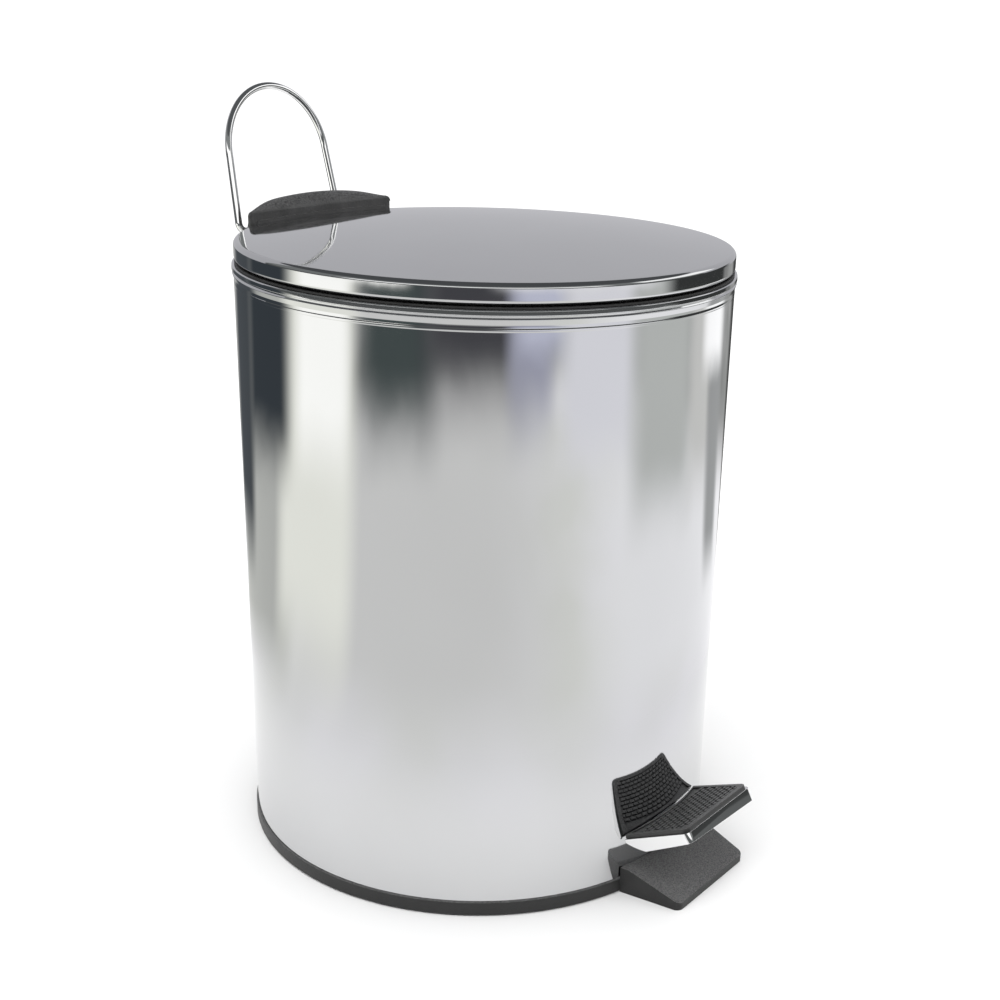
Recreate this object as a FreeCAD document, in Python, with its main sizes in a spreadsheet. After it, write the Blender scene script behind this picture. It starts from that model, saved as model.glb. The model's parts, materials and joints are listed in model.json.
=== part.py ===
import FreeCAD, Part
import math
import os
import re

import Sketcher

# Pedal bin, built as the pieces it comes apart into. Millimetres, +Z up.
# The origin is the centre of the base on the floor. The pedal points to -Y and the lid hinge is at +Y.

os.makedirs("parts", exist_ok=True)
doc = FreeCAD.newDocument("pedal_bin")
Vector = FreeCAD.Vector
Rotation = FreeCAD.Rotation
Placement = FreeCAD.Placement

SIZES = {
    # rolled steel body
    "body_radius": 102.0,
    "body_wall": 0.7,
    "body_bottom": 3.0,
    "body_top": 247.4,
    "hem_proud": 0.8,
    "hem_depth": 2.1,
    "hem_round": 0.4,
    "hem_lip": 0.3,
    "bead_high": 2.6,
    "bead_low": 5.2,
    "bead_foot": 0.1,
    "bead_proud": 0.65,
    "rib_high": 6.4,
    "rib_low": 8.0,
    "rib_proud": 0.35,
    # plastic base
    "ring_radius": 102.8,
    "ring_top": 6.8,
    "ring_cut": 0.8,
    "ring_lip": 0.5,
    "tray_floor": 2.2,
    "upstand_top": 10.0,
    "upstand_wall": 2.5,
    "pad_radius": 7.0,
    "pad_depth": 1.3,
    "pad_circle": 84.0,
    # toe that carries the load of a foot on the pedal
    "toe_front": 126.4,
    "toe_half_rear": 29.0,
    "toe_half_front": 26.6,
    "toe_overlap": 28.0,
    "toe_cut_side": 3.5,
    "toe_cut_front": 3.2,
    "toe_rear_height": 11.6,
    "toe_front_height": 3.4,
    # opening in the body for the pedal lever
    "slot_half": 12.0,
    "slot_low": 11.0,
    "slot_high": 26.5,
    # pedal lever and its axle
    "pivot_out": 35.0,
    "pivot_height": 8.5,
    "axle_radius": 2.5,
    "axle_half": 18.0,
    "axle_clip_radius": 5.0,
    "axle_clip_near": 15.2,
    "lug_gap": 0.5,
    "lug_gauge": 4.0,
    "lug_radius": 5.5,
    "clip_gauge": 0.8,
    "running_gap": 0.05,
    "lever_half": 10.0,
    "lever_gauge": 2.0,
    "lever_ear_gauge": 1.6,
    "pedal_swing": 9.0,
    "lid_swing": 72.0,
    "rod_foot": 93.5,
    "rod_radius": 1.75,
    "rod_bend": 2.4,
    "rod_hook": 3.0,
    "rod_clip_radius": 3.6,
    "rod_clip_gap": 0.6,
    "ear_near": 3.0,
    "ear_gauge": 2.0,
    # tread: a chromed tray with a rubber pad
    "tread_back": 103.2,
    "tread_back_height": 26.7,
    "tread_slope": 23.0,
    "tread_length": 26.4,
    "tread_half_back": 28.2,
    "tread_half_front": 25.8,
    "tread_corner_back": 4.24,
    "tread_cut_side": 3.4,
    "tread_cut_front": 3.0,
    "tread_gauge": 1.0,
    "flange_depth": 6.2,
    "pad_inset": 1.0,
    "pad_rear_inset": 0.1,
    "pad_height": 1.7,
    "tread_rivet_radius": 1.5,
    "tread_rivet_head": 2.6,
    "tread_rivet_tail": 2.4,
    # hinge
    "hinge_height": 250.5,
    "knuckle_radius": 4.6,
    "pin_radius": 2.0,
    "knuckle_half": 13.5,
    "ear_outer": 23.5,
    "ear_inner": 14.0,
    "pin_head_radius": 3.0,
    "pin_head_gap": 0.4,
    "pin_head": 1.0,
    "block_half": 20.5,
    "block_low": 220.0,
    "block_high": 237.0,
    "block_back": 106.5,
    # fasteners
    "rivet_radius": 1.6,
    "rivet_out": 16.6,
    "rivet_level": 228.0,
    "screw_radius": 1.6,
    "screw_head": 2.8,
    "screw_out": 10.0,
    "screw_y": 96.0,
    # lid
    "lid_radius": 101.7,
    "lid_edge": 256.5,
    "lid_dome": 5.8,
    "lid_wall": 0.6,
    "lid_low": 248.7,
    "lid_curl": 99.6,
    "bumper_radius": 2.0,
    "bumper_circle": 96.0,
    "bumper_gap": 0.35,
    # hinge cover
    "cover_front": 92.0,
    "cover_radius": 103.2,
    "cover_low": 254.5,
    "cover_crease": 262.0,
    "cover_peak": 266.5,
    "cover_ridge": 98.0,
    "cover_crown": 215.0,
    # lift bracket under the lid
    "bracket_half": 16.0,
    "bracket_front": 84.0,
    "bracket_back": 98.0,
    "bracket_low": 254.9,
    "bracket_high": 256.1,
    # liner bucket
    "liner_low": 34.0,
    "liner_radius_low": 84.0,
    "liner_radius_high": 92.0,
    "liner_wall": 1.4,
    "liner_floor": 1.6,
    "liner_flat": 83.4,
    "flange_radius": 101.6,
    "flange_gauge": 0.9,
    "notch_half": 14.0,
    "bail_wire": 1.25,
    "bail_radius": 95.8,
    # carrying handle
    "grip_y": 112.4,
    "grip_wire": 1.5,
    "grip_half": 31.0,
    "grip_arch": 29.0,
    "grip_leg": 31.2,
    "grip_lean": 11.5,
    "grip_end": 16.5,
    "grip_foot_bend": 3.5,
}

DERIVED = {
    "rod_arm": "=rod_foot + pivot_out",
    "crank_radius": "=rod_arm * sin(pedal_swing) / (2 * sin(lid_swing / 2))",
    "hinge_y": "=rod_foot + crank_radius * cos(lid_swing / 2)",
    "crank_height": "=hinge_height - crank_radius * sin(lid_swing / 2)",
    "body_inner": "=body_radius - body_wall",
    "dome_sphere": "=(lid_radius^2 + lid_dome^2) / (2 * lid_dome)",
    "lid_top": "=lid_edge + lid_dome",
    "cover_round": "=((cover_ridge - cover_front)^2 + (cover_peak - cover_crease)^2)"
                   " / (2 * (cover_peak - cover_crease))",
}

sheet = doc.addObject("Spreadsheet::Sheet", "Sizes")
ROW_OF_SCRATCH = len(SIZES) + len(DERIVED) + 3
for row, (alias, amount) in enumerate({**SIZES, **DERIVED}.items(), start=1):
    sheet.set(f"A{row}", alias)
    sheet.set(f"B{row}", str(amount))
    sheet.setAlias(f"B{row}", alias)
doc.recompute()

ALIASES = re.compile(r"\b(" + "|".join({**SIZES, **DERIVED}) + r")\b")
pieces = []


def bound(formula):
    """The formula as an expression that reads its names from the sheet."""
    return ALIASES.sub(r"Sizes.\1", str(formula))


def value(formula):
    """The formula's present number, worked out by the sheet itself."""
    cell = f"B{ROW_OF_SCRATCH}"
    sheet.set(cell, f"={formula}")
    sheet.recompute()
    return float(sheet.get(cell))


def finish(obj, node):
    """Give a finished sub-part its name."""
    obj.Label = node
    pieces.append(obj)
    return obj


def place(obj, at=(0, 0, 0), turn=None):
    """Place an object: a fixed turn, and a position bound to the sheet."""
    obj.Placement = Placement(Vector(*(value(part) for part in at)), turn or Rotation())
    for axis, part in zip("xyz", at):
        obj.setExpression(f"Placement.Base.{axis}", bound(part))
    return obj


ALONG_X = Rotation(Vector(0, 1, 0), 90)
ALONG_Y = Rotation(Vector(1, 0, 0), -90)


def cylinder(name, radius, height, at=(0, 0, 0), turn=None):
    obj = doc.addObject("Part::Cylinder", name)
    obj.setExpression("Radius", bound(radius))
    obj.setExpression("Height", bound(height))
    return place(obj, at, turn)


def across(name, radius, low, high, y, z):
    """A cylinder along X from low to high."""
    return cylinder(name, radius, f"({high}) - ({low})", (low, y, z), ALONG_X)


def cone(name, low_radius, high_radius, height, at=(0, 0, 0)):
    obj = doc.addObject("Part::Cone", name)
    obj.setExpression("Radius1", bound(low_radius))
    obj.setExpression("Radius2", bound(high_radius))
    obj.setExpression("Height", bound(height))
    return place(obj, at)


def box(name, low, high):
    """A box between two corners."""
    obj = doc.addObject("Part::Box", name)
    for prop, start, end in zip(("Length", "Width", "Height"), low, high):
        obj.setExpression(prop, bound(f"({end}) - ({start})"))
    return place(obj, low)


def sphere(name, radius, at):
    obj = doc.addObject("Part::Sphere", name)
    obj.setExpression("Radius", bound(radius))
    return place(obj, at)


def fuse(name, shapes):
    obj = doc.addObject("Part::MultiFuse", name)
    obj.Shapes = shapes
    obj.Refine = True
    return obj


def common(name, shapes):
    obj = doc.addObject("Part::MultiCommon", name)
    obj.Shapes = shapes
    return obj


def cut(name, base, tool):
    obj = doc.addObject("Part::Cut", name)
    obj.Base = base
    obj.Tool = tool
    return obj


def group(name, shapes):
    """Separate solids kept together, such as a set of equal fasteners."""
    obj = doc.addObject("Part::Compound", name)
    obj.Links = shapes
    return obj


def origin_plane(body, role):
    return next(item for item in body.Origin.OriginFeatures if item.Role == role)


def sketch_on(body, name, role, offset="0"):
    sketch = body.newObject("Sketcher::SketchObject", name)
    sketch.AttachmentSupport = (origin_plane(body, role), [""])
    sketch.MapMode = "FlatFace"
    sketch.AttachmentOffset = Placement(Vector(0, 0, value(offset)), Rotation())
    sketch.setExpression("AttachmentOffset.Base.z", bound(offset))
    return sketch


def pin_point(sketch, geometry, end, corner, label):
    """Hold one point of the sketch at a pair of formulas."""
    for kind, axis, formula in zip(("DistanceX", "DistanceY"), "xy", corner):
        index = sketch.addConstraint(
            Sketcher.Constraint(kind, -1, 1, geometry, end, value(formula)))
        sketch.renameConstraint(index, f"{label}_{axis}")
        sketch.setExpression(f"Constraints.{label}_{axis}", bound(formula))


def end_at(sketch, geometry, point):
    """Which end of an edge lies at the point: 1 is its start, 2 its end."""
    gaps = [(sketch.getPoint(geometry, end) - point).Length for end in (1, 2)]
    return 1 if gaps[0] < gaps[1] else 2


def outline(sketch, corners, through=None):
    """Closed outline through the corners. An edge listed in through is an arc by that point."""
    through = through or {}
    points = [Vector(value(x), value(y), 0) for x, y in corners]
    count = len(corners)
    edges = []
    for index in range(count):
        start, end = points[index], points[(index + 1) % count]
        if index in through:
            middle = Vector(*(value(part) for part in through[index]), 0)
            edge = sketch.addGeometry(Part.Arc(start, middle, end))
            dot = sketch.addGeometry(Part.Point(middle), True)
            pin_point(sketch, dot, 1, through[index], f"mid{index}")
            sketch.addConstraint(Sketcher.Constraint("PointOnObject", dot, 1, edge))
        else:
            edge = sketch.addGeometry(Part.LineSegment(start, end))
        edges.append(edge)
    for index in range(count):
        here, before = edges[index], edges[index - 1]
        point = points[index]
        sketch.addConstraint(Sketcher.Constraint(
            "Coincident", before, end_at(sketch, before, point), here, end_at(sketch, here, point)))
        pin_point(sketch, here, end_at(sketch, here, point), corners[index], f"corner{index}")
    return sketch


def rounded_path(sketch, corners, radii):
    """Open path of straight runs joined by tangent arcs, one radius for each inner corner."""
    points = [Vector(value(x), value(y), 0) for x, y in corners]
    size = [value(radius) for radius in radii]
    starts, ends = [points[0]], []
    middles = []
    for index in range(1, len(points) - 1):
        back = (points[index - 1] - points[index]).normalize()
        ahead = (points[index + 1] - points[index]).normalize()
        half = back.getAngle(ahead) / 2
        reach = size[index - 1] / math.tan(half)
        bisector = (back + ahead).normalize()
        centre = points[index] + bisector * (size[index - 1] / math.sin(half))
        ends.append(points[index] + back * reach)
        starts.append(points[index] + ahead * reach)
        middles.append(centre - bisector * size[index - 1])
    ends.append(points[-1])
    runs = [sketch.addGeometry(Part.LineSegment(a, b)) for a, b in zip(starts, ends)]
    dots = [sketch.addGeometry(Part.Point(point), True) for point in points[1:-1]]
    for index, dot in enumerate(dots):
        pin_point(sketch, dot, 1, corners[index + 1], f"corner{index + 1}")
        for run in (runs[index], runs[index + 1]):
            sketch.addConstraint(Sketcher.Constraint("PointOnObject", dot, 1, run))
        arc = sketch.addGeometry(Part.Arc(ends[index], middles[index], starts[index + 1]))
        for run, end, point in ((runs[index], 2, ends[index]), (runs[index + 1], 1, starts[index + 1])):
            sketch.addConstraint(Sketcher.Constraint(
                "Tangent", run, end, arc, end_at(sketch, arc, point)))
        bend = sketch.addConstraint(Sketcher.Constraint("Radius", arc, size[index]))
        sketch.renameConstraint(bend, f"bend{index + 1}")
        sketch.setExpression(f"Constraints.bend{index + 1}", bound(radii[index]))
    pin_point(sketch, runs[0], 1, corners[0], "first")
    pin_point(sketch, runs[-1], 2, corners[-1], "last")
    return sketch


def circle_at(sketch, radius, centre):
    """A circle whose radius and centre follow the sheet."""
    edge = sketch.addGeometry(Part.Circle(
        Vector(value(centre[0]), value(centre[1]), 0), Vector(0, 0, 1), value(radius)))
    pin_point(sketch, edge, 3, centre, "centre")
    index = sketch.addConstraint(Sketcher.Constraint("Radius", edge, value(radius)))
    sketch.renameConstraint(index, "ring")
    sketch.setExpression("Constraints.ring", bound(radius))
    return sketch


def turned(name, corners, through=None):
    """A solid of revolution about Z from an outline of (radius, height) corners."""
    body = doc.addObject("PartDesign::Body", name)
    sketch = outline(sketch_on(body, f"{name}Profile", "XZ_Plane"), corners, through)
    feature = body.newObject("PartDesign::Revolution", f"{name}Turn")
    feature.Profile = sketch
    feature.ReferenceAxis = (sketch, ["V_Axis"])
    feature.Angle = 360.0
    sketch.Visibility = False
    return body


def slab(name, corners, low, high, through=None):
    """An outline of (y, z) corners, extruded along X from low to high."""
    body = doc.addObject("PartDesign::Body", name)
    sketch = outline(sketch_on(body, f"{name}Profile", "YZ_Plane", low), corners, through)
    feature = body.newObject("PartDesign::Pad", f"{name}Pad")
    feature.Profile = sketch
    feature.setExpression("Length", bound(f"({high}) - ({low})"))
    return body


def wire(name, corners, radii, wire_radius):
    """A bent round wire in the XZ plane: runs along the corners, with rounded bends."""
    body = doc.addObject("PartDesign::Body", name)
    spine = rounded_path(sketch_on(body, f"{name}Path", "XZ_Plane"), corners, radii)
    section = sketch_on(body, f"{name}Section", "YZ_Plane", corners[0][0])
    circle_at(section, wire_radius, ("0", "0"))
    doc.recompute()
    feature = body.newObject("PartDesign::AdditivePipe", f"{name}Pipe")
    feature.Profile = section
    feature.Spine = (spine, [f"Edge{i + 1}" for i in range(len(spine.Shape.Edges))])
    return body


# ---- body shell ----------------------------------------------------------------------------------

def make_outer_body():
    """Rolled tube with a hem, a shoulder and a small rib at its top."""
    outer = "body_radius"
    inner = "body_inner"
    shell = turned("BodyShell", [
        (inner, "body_bottom"),
        (outer, "body_bottom"),
        (outer, "body_top - rib_low"),
        (outer, "body_top - rib_high"),
        (f"{outer} + bead_foot", "body_top - bead_low"),
        (f"{outer} + bead_foot", "body_top - bead_high"),
        (f"{outer} + hem_proud", "body_top - hem_depth"),
        (f"{outer} + hem_proud", "body_top - hem_round"),
        (f"{outer} + hem_proud - hem_round", "body_top"),
        (f"{inner} - hem_lip", "body_top"),
        (f"{inner} - hem_lip", "body_top - hem_depth"),
        (inner, "body_top - bead_high"),
    ], through={
        2: (f"{outer} + rib_proud", "body_top - (rib_low + rib_high) / 2"),
        4: (f"{outer} + bead_proud", "body_top - (bead_low + bead_high) / 2"),
    })
    slot = box("LeverSlot", ("-slot_half", "-body_radius - 5", "slot_low"),
               ("slot_half", "-90", "slot_high"))
    holes = rivet_bores("BodyRivetHole")
    return finish(cut("OuterBody", shell, fuse("BodyOpenings", [slot] + holes)), "outer_body")


def rivet_bores(name):
    """Bores through the body wall and the hinge block."""
    return [cylinder(f"{name}{i}", "rivet_radius", "20", (x, "90", "rivet_level"), ALONG_Y)
            for i, x in enumerate(("-rivet_out", "rivet_out"))]


def make_base_tray():
    """Floor, outer ring, upstand inside the body, toe block and the two lugs that hold the axle."""
    tray = turned("TrayTurn", [
        ("0", "0"),
        ("ring_radius - ring_cut", "0"),
        ("ring_radius", "ring_cut"),
        ("ring_radius", "ring_top - ring_lip"),
        ("ring_radius - ring_lip", "ring_top"),
        ("body_radius", "ring_top"),
        ("body_radius", "body_bottom"),
        ("body_inner", "body_bottom"),
        ("body_inner", "upstand_top"),
        ("body_inner - upstand_wall", "upstand_top"),
        ("body_inner - upstand_wall", "tray_floor"),
        ("0", "tray_floor"),
    ])
    toe = doc.addObject("PartDesign::Body", "Toe")
    plan = outline(sketch_on(toe, "ToePlan", "XY_Plane"), [
        ("-toe_half_rear", "-toe_front + toe_overlap"),
        ("toe_half_rear", "-toe_front + toe_overlap"),
        ("toe_half_front", "-toe_front + toe_cut_side"),
        ("toe_half_front - toe_cut_front", "-toe_front"),
        ("-toe_half_front + toe_cut_front", "-toe_front"),
        ("-toe_half_front", "-toe_front + toe_cut_side"),
    ], through={
        2: ("toe_half_front - toe_cut_front * 0.28", "-toe_front + toe_cut_side * 0.28"),
        4: ("-toe_half_front + toe_cut_front * 0.28", "-toe_front + toe_cut_side * 0.28"),
    })
    pad = toe.newObject("PartDesign::Pad", "ToePad")
    pad.Profile = plan
    pad.setExpression("Length", bound("toe_rear_height + 3"))
    slope = slab("ToeSlope", [
        ("-toe_front - 5", "toe_front_height - 1.8"),
        ("-body_radius", "toe_rear_height"),
        ("-body_radius + 12", "toe_rear_height"),
        ("-body_radius + 12", "toe_rear_height + 20"),
        ("-toe_front - 5", "toe_rear_height + 20"),
    ], "-50", "50")
    inside = cylinder("ToeInside", "body_radius", "60", ("0", "0", "-10"))
    toe_cut = cut("ToeCut", toe, fuse("ToeWaste", [slope, inside]))
    lugs = []
    for i, (low, high) in enumerate((
            ("lever_half + lug_gap", "lever_half + lug_gap + lug_gauge"),
            ("-lever_half - lug_gap - lug_gauge", "-lever_half - lug_gap"))):
        lugs.append(box(f"Lug{i}", (low, "-pivot_out - lug_radius", "tray_floor / 2"),
                        (high, "-pivot_out + lug_radius", "pivot_height")))
        lugs.append(across(f"LugTop{i}", "lug_radius", low, high, "-pivot_out", "pivot_height"))
    solid = fuse("TraySolid", [tray, toe_cut] + lugs)
    waste = [across("LugBore", "axle_radius", "-30", "30", "-pivot_out", "pivot_height")]
    for i in range(4):
        angle = 45 + 90 * i
        waste.append(cylinder(f"PadPocket{i}", "pad_radius", "pad_depth",
                              (f"pad_circle * cos({angle})", f"pad_circle * sin({angle})", "0")))
    return finish(cut("BaseTray", solid, fuse("TrayWaste", waste)), "base_tray")


def make_foot_pads():
    """Four soft pads in pockets of the base."""
    pads = []
    for i in range(4):
        angle = 45 + 90 * i
        pads.append(cylinder(f"FootPad{i}", "pad_radius - 0.2", "pad_depth",
                             (f"pad_circle * cos({angle})", f"pad_circle * sin({angle})", "0")))
    return finish(group("FootPads", pads), "foot_pads")


def make_lever_axle():
    return finish(across("LeverAxle", "axle_radius", "-axle_half", "axle_half",
                         "-pivot_out", "pivot_height"),
                  "lever_axle")


def make_axle_clips():
    """Push-on washers that keep the axle in its lugs."""
    clips = []
    near = "axle_clip_near"
    far = "axle_clip_near + clip_gauge"
    for i, (low, high) in enumerate(((near, far), (f"-({far})", f"-({near})"))):
        disc = across(f"ClipDisc{i}", "axle_clip_radius", low, high, "-pivot_out", "pivot_height")
        hole = across(f"ClipHole{i}", "axle_radius", f"({low}) - 1", f"({high}) + 1",
                      "-pivot_out", "pivot_height")
        clips.append(cut(f"Clip{i}", disc, hole))
    return finish(group("AxleClips", clips), "axle_clips")


# ---- liner ---------------------------------------------------------------------------------------

def make_liner_bucket():
    """Lift-out bucket with a flat back for the rod and a flange that rests on the body's hem."""
    height = "body_top - liner_low"
    outside = common("LinerOutside", [
        cone("LinerCone", "liner_radius_low", "liner_radius_high", height, ("0", "0", "liner_low")),
        box("LinerHalf", ("-110", "-110", "liner_low"), ("110", "liner_flat", "body_top")),
    ])
    flange = cylinder("LinerFlange", "flange_radius", "flange_gauge", ("0", "0", "body_top"))
    rim_notch = box("LinerNotch", ("-notch_half", "liner_flat", "body_top - 5"),
                    ("notch_half", "110", "body_top + 5"))
    flange_cut = cut("LinerFlangeCut", flange, rim_notch)
    solid = fuse("LinerSolid", [outside, flange_cut])
    hollow = common("LinerHollow", [
        cone("LinerHollowCone", "liner_radius_low - liner_wall", "liner_radius_high - liner_wall",
             f"{height} + 4", ("0", "0", "liner_low + liner_floor")),
        box("LinerHollowHalf", ("-110", "-110", "liner_low"),
            ("110", "liner_flat - liner_wall", "body_top + 10")),
    ])
    holes = [cylinder(f"BailHole{i}", "bail_wire", "10", (x, "0", "body_top - 4"))
             for i, x in enumerate(("-bail_radius", "bail_radius"))]
    return finish(cut("LinerBucket", solid, fuse("LinerWaste", [hollow] + holes)), "liner_bucket")


def make_liner_bail():
    """Half-hoop wire folded flat on the liner's flange, with an end hooked through each side."""
    level = "body_top + flange_gauge + bail_wire + 0.05"
    hoop = doc.addObject("Part::Torus", "BailHoop")
    hoop.setExpression("Radius1", bound("bail_radius"))
    hoop.setExpression("Radius2", bound("bail_wire"))
    hoop.Angle3 = 180.0
    place(hoop, ("0", "0", level), Rotation(Vector(0, 0, 1), 180))
    parts = [hoop]
    for i, x in enumerate(("-bail_radius", "bail_radius")):
        parts.append(cylinder(f"BailEnd{i}", "bail_wire", "5", (x, "0", f"{level} - 5")))
        parts.append(sphere(f"BailBend{i}", "bail_wire", (x, "0", level)))
    return finish(fuse("LinerBail", parts), "liner_bail")


# ---- hinge on the body ---------------------------------------------------------------------------

def make_hinge_block():
    """Moulded block on the back of the body; its knuckle holds the hinge pin."""
    plate = box("BlockPlate", ("-block_half", "95", "block_low"),
                ("block_half", "block_back", "block_high"))
    arm = slab("BlockArm", [
        ("101", "block_low + 4"),
        ("block_back", "block_low + 4"),
        ("hinge_y + knuckle_radius * 0.8", "hinge_height - knuckle_radius * 0.6"),
        ("hinge_y", "hinge_height"),
        ("body_radius + 1.5", "hinge_height - 3.5"),
        ("101", "block_high + 3"),
    ], "-knuckle_half", "knuckle_half")
    knuckle = across("BlockKnuckle", "knuckle_radius", "-knuckle_half", "knuckle_half",
                     "hinge_y", "hinge_height")
    solid = fuse("BlockSolid", [plate, arm, knuckle])
    waste = [
        cylinder("BlockSeat", "body_radius", "60", ("0", "0", "200")),
        cylinder("BlockHemGap", "body_radius + hem_proud + 0.2", "30", ("0", "0", "body_top - 9")),
        across("BlockBore", "pin_radius", "-30", "30", "hinge_y", "hinge_height"),
    ]
    waste += rivet_bores("BlockRivetHole")
    return finish(cut("HingeBlock", solid, fuse("BlockWaste", waste)), "hinge_block")


def make_block_rivets():
    """Two rivets through the block and the body wall."""
    tail_radius = "rivet_radius + 1"
    inner_wall = f"sqrt(body_inner^2 - (rivet_out + {tail_radius})^2)"
    rivets = []
    for i, x in enumerate(("-rivet_out", "rivet_out")):
        shank = cylinder(f"RivetShank{i}", "rivet_radius", f"block_back + 0.8 - {inner_wall}",
                         (x, inner_wall, "rivet_level"), ALONG_Y)
        head = cylinder(f"RivetHead{i}", "rivet_radius + 1.4", "1.2",
                        (x, "block_back", "rivet_level"), ALONG_Y)
        tail = cylinder(f"RivetTail{i}", tail_radius, "1",
                        (x, f"{inner_wall} - 1", "rivet_level"), ALONG_Y)
        rivets.append(fuse(f"Rivet{i}", [shank, head, tail]))
    return finish(group("BlockRivets", rivets), "block_rivets")


def make_hinge_pin():
    """Steel pin through the knuckle and both ears, with a small head at each end."""
    near = "ear_outer + pin_head_gap"
    far = "ear_outer + pin_head_gap + pin_head"
    pin = across("PinShank", "pin_radius", f"-({far})", far, "hinge_y", "hinge_height")
    heads = [across(f"PinHead{i}", "pin_head_radius", low, high, "hinge_y", "hinge_height")
             for i, (low, high) in enumerate(((near, far), (f"-({far})", f"-({near})")))]
    return finish(fuse("HingePin", [pin] + heads), "hinge_pin")


# ---- lid -----------------------------------------------------------------------------------------

def screw_bores(name):
    """Upright bores for the two screws, through everything at the lid's back edge."""
    return [cylinder(f"{name}{i}", "screw_radius", "22", (x, "screw_y", "240"))
            for i, x in enumerate(("-screw_out", "screw_out"))]


def make_lid_shell():
    """Shallow dome with a turned-down skirt that curls inward at its lower edge."""
    dome = "lid_top - dome_sphere + sqrt(dome_sphere^2 - ({0})^2)"
    near_edge = "lid_radius - 1.2"
    inner_edge = "lid_radius - lid_wall - 0.8"
    half = "lid_radius / 2"
    shell = turned("LidTurn", [
        ("0", "lid_top - lid_wall"),
        ("0", "lid_top"),
        (near_edge, dome.format(near_edge)),
        ("lid_radius", "lid_edge - 1.2"),
        ("lid_radius", "lid_low + 2"),
        ("lid_curl", "lid_low"),
        ("lid_curl", "lid_low + lid_wall"),
        ("lid_radius - lid_wall", "lid_low + 2.3"),
        ("lid_radius - lid_wall", "lid_edge - 1.4 - lid_wall"),
        (inner_edge, dome.format(inner_edge) + " - lid_wall"),
    ], through={
        1: (half, dome.format(half)),
        2: ("lid_radius - 0.33", "lid_edge - 0.3"),
        4: ("lid_radius - 0.55", "lid_low + 0.55"),
        6: ("lid_radius - lid_wall - 0.5", "lid_low + lid_wall + 0.5"),
        9: (half, dome.format(half) + " - lid_wall"),
    })
    return finish(cut("LidShell", shell, fuse("LidHoles", screw_bores("LidHole"))), "lid_shell")


def make_hinge_cover():
    """Moulded cover on the lid's back edge, with two ears behind the rim that turn on the pin."""
    rim = "cover_radius"
    base = common("CoverBase", [
        cylinder("CoverBaseRound", rim, "cover_crease - cover_low", ("0", "0", "cover_low")),
        box("CoverBaseHalf", ("-60", "cover_front", "cover_low"), ("60", "120", "cover_crease")),
    ])
    crown = common("CoverCrown", [
        cylinder("CoverCrownRound", rim, "12", ("0", "0", "cover_crease - 3")),
        box("CoverCrownHalf", ("-60", "cover_front", "cover_crease - 3"),
            ("60", "120", "cover_crease + 9")),
        across("CoverCrownRoll", "cover_round", "-60", "60", "cover_ridge", "cover_peak - cover_round"),
        sphere("CoverCrownBall", "cover_crown", ("0", "cover_ridge", "cover_peak - cover_crown")),
    ])
    ears = []
    for i, (low, high) in enumerate((("ear_inner", "ear_outer"), ("-ear_outer", "-ear_inner"))):
        ears.append(slab(f"CoverEar{i}", [
            ("cover_front + 5", "cover_crease - 2"),
            ("cover_front + 5", "lid_edge"),
            ("cover_radius - 0.2", "lid_edge"),
            ("cover_radius - 0.2", "hinge_height"),
            ("hinge_y - knuckle_radius", "hinge_height"),
            ("hinge_y", "hinge_height - knuckle_radius"),
            ("grip_y", "hinge_height - 3.6"),
            ("grip_y + 3.6", "hinge_height"),
            ("grip_y + 2.2", "hinge_height + 5"),
            ("cover_radius + 2", "cover_crease - 1"),
        ], low, high, through={
            4: ("hinge_y - knuckle_radius * cos(45)", "hinge_height - knuckle_radius * sin(45)"),
            6: ("grip_y + 3.6 * cos(45)", "hinge_height - 3.6 * sin(45)"),
        }))
    solid = fuse("CoverSolid", [base, crown] + ears)
    lid_filled = common("LidFilled", [
        cylinder("LidFilledRound", "lid_radius", "40", ("0", "0", "lid_top - 40")),
        sphere("LidFilledBall", "dome_sphere", ("0", "0", "lid_top - dome_sphere")),
    ])
    waste = [
        lid_filled,
        across("CoverPinBore", "pin_radius + running_gap", "-40", "40", "hinge_y", "hinge_height"),
        across("CoverGripBoreA", "grip_wire + running_gap", "grip_end - 0.5", "40", "grip_y",
               "hinge_height"),
        across("CoverGripBoreB", "grip_wire + running_gap", "-40", "-grip_end + 0.5", "grip_y",
               "hinge_height"),
    ]
    waste += screw_bores("CoverScrewHole")
    return finish(cut("HingeCover", solid, fuse("CoverWaste", waste)), "hinge_cover")


def make_lift_bracket():
    """Steel bracket under the lid; the rod's hook works in the slot of its ear."""
    plate = box("BracketPlate", ("-bracket_half", "bracket_front", "bracket_low"),
                ("bracket_half", "bracket_back", "bracket_high"))
    ear = slab("BracketEar", [
        ("86.5", "bracket_low + 0.3"),
        ("87.5", "crank_height - 2"),
        ("rod_foot", "crank_height - 4.8"),
        ("rod_foot + 5", "crank_height - 1.2"),
        ("99.6", "crank_height + 3.5"),
        ("97.5", "crank_height + 6.5"),
        ("96.5", "bracket_low + 0.3"),
    ], "ear_near", "ear_near + ear_gauge")
    # the hook runs along this slot, which points at the hinge pin
    slot = doc.addObject("PartDesign::Body", "BracketSlot")
    profile = outline(sketch_on(slot, "BracketSlotProfile", "YZ_Plane", "ear_near - 1"), [
        ("-0.1", "-2.7"),
        ("3.9", "-2.7"),
        ("3.9", "2.7"),
        ("-0.1", "2.7"),
    ], through={1: ("6.6", "0"), 3: ("-2.8", "0")})
    pad = slot.newObject("PartDesign::Pad", "BracketSlotPad")
    pad.Profile = profile
    pad.setExpression("Length", bound("ear_gauge + 2"))
    place(slot, ("0", "rod_foot", "crank_height"), Rotation(Vector(1, 0, 0), value("lid_swing / 2")))
    solid = fuse("BracketSolid", [plate, ear])
    waste = [slot] + screw_bores("BracketHole")
    return finish(cut("LiftBracket", solid, fuse("BracketWaste", waste)), "lift_bracket")


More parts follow.
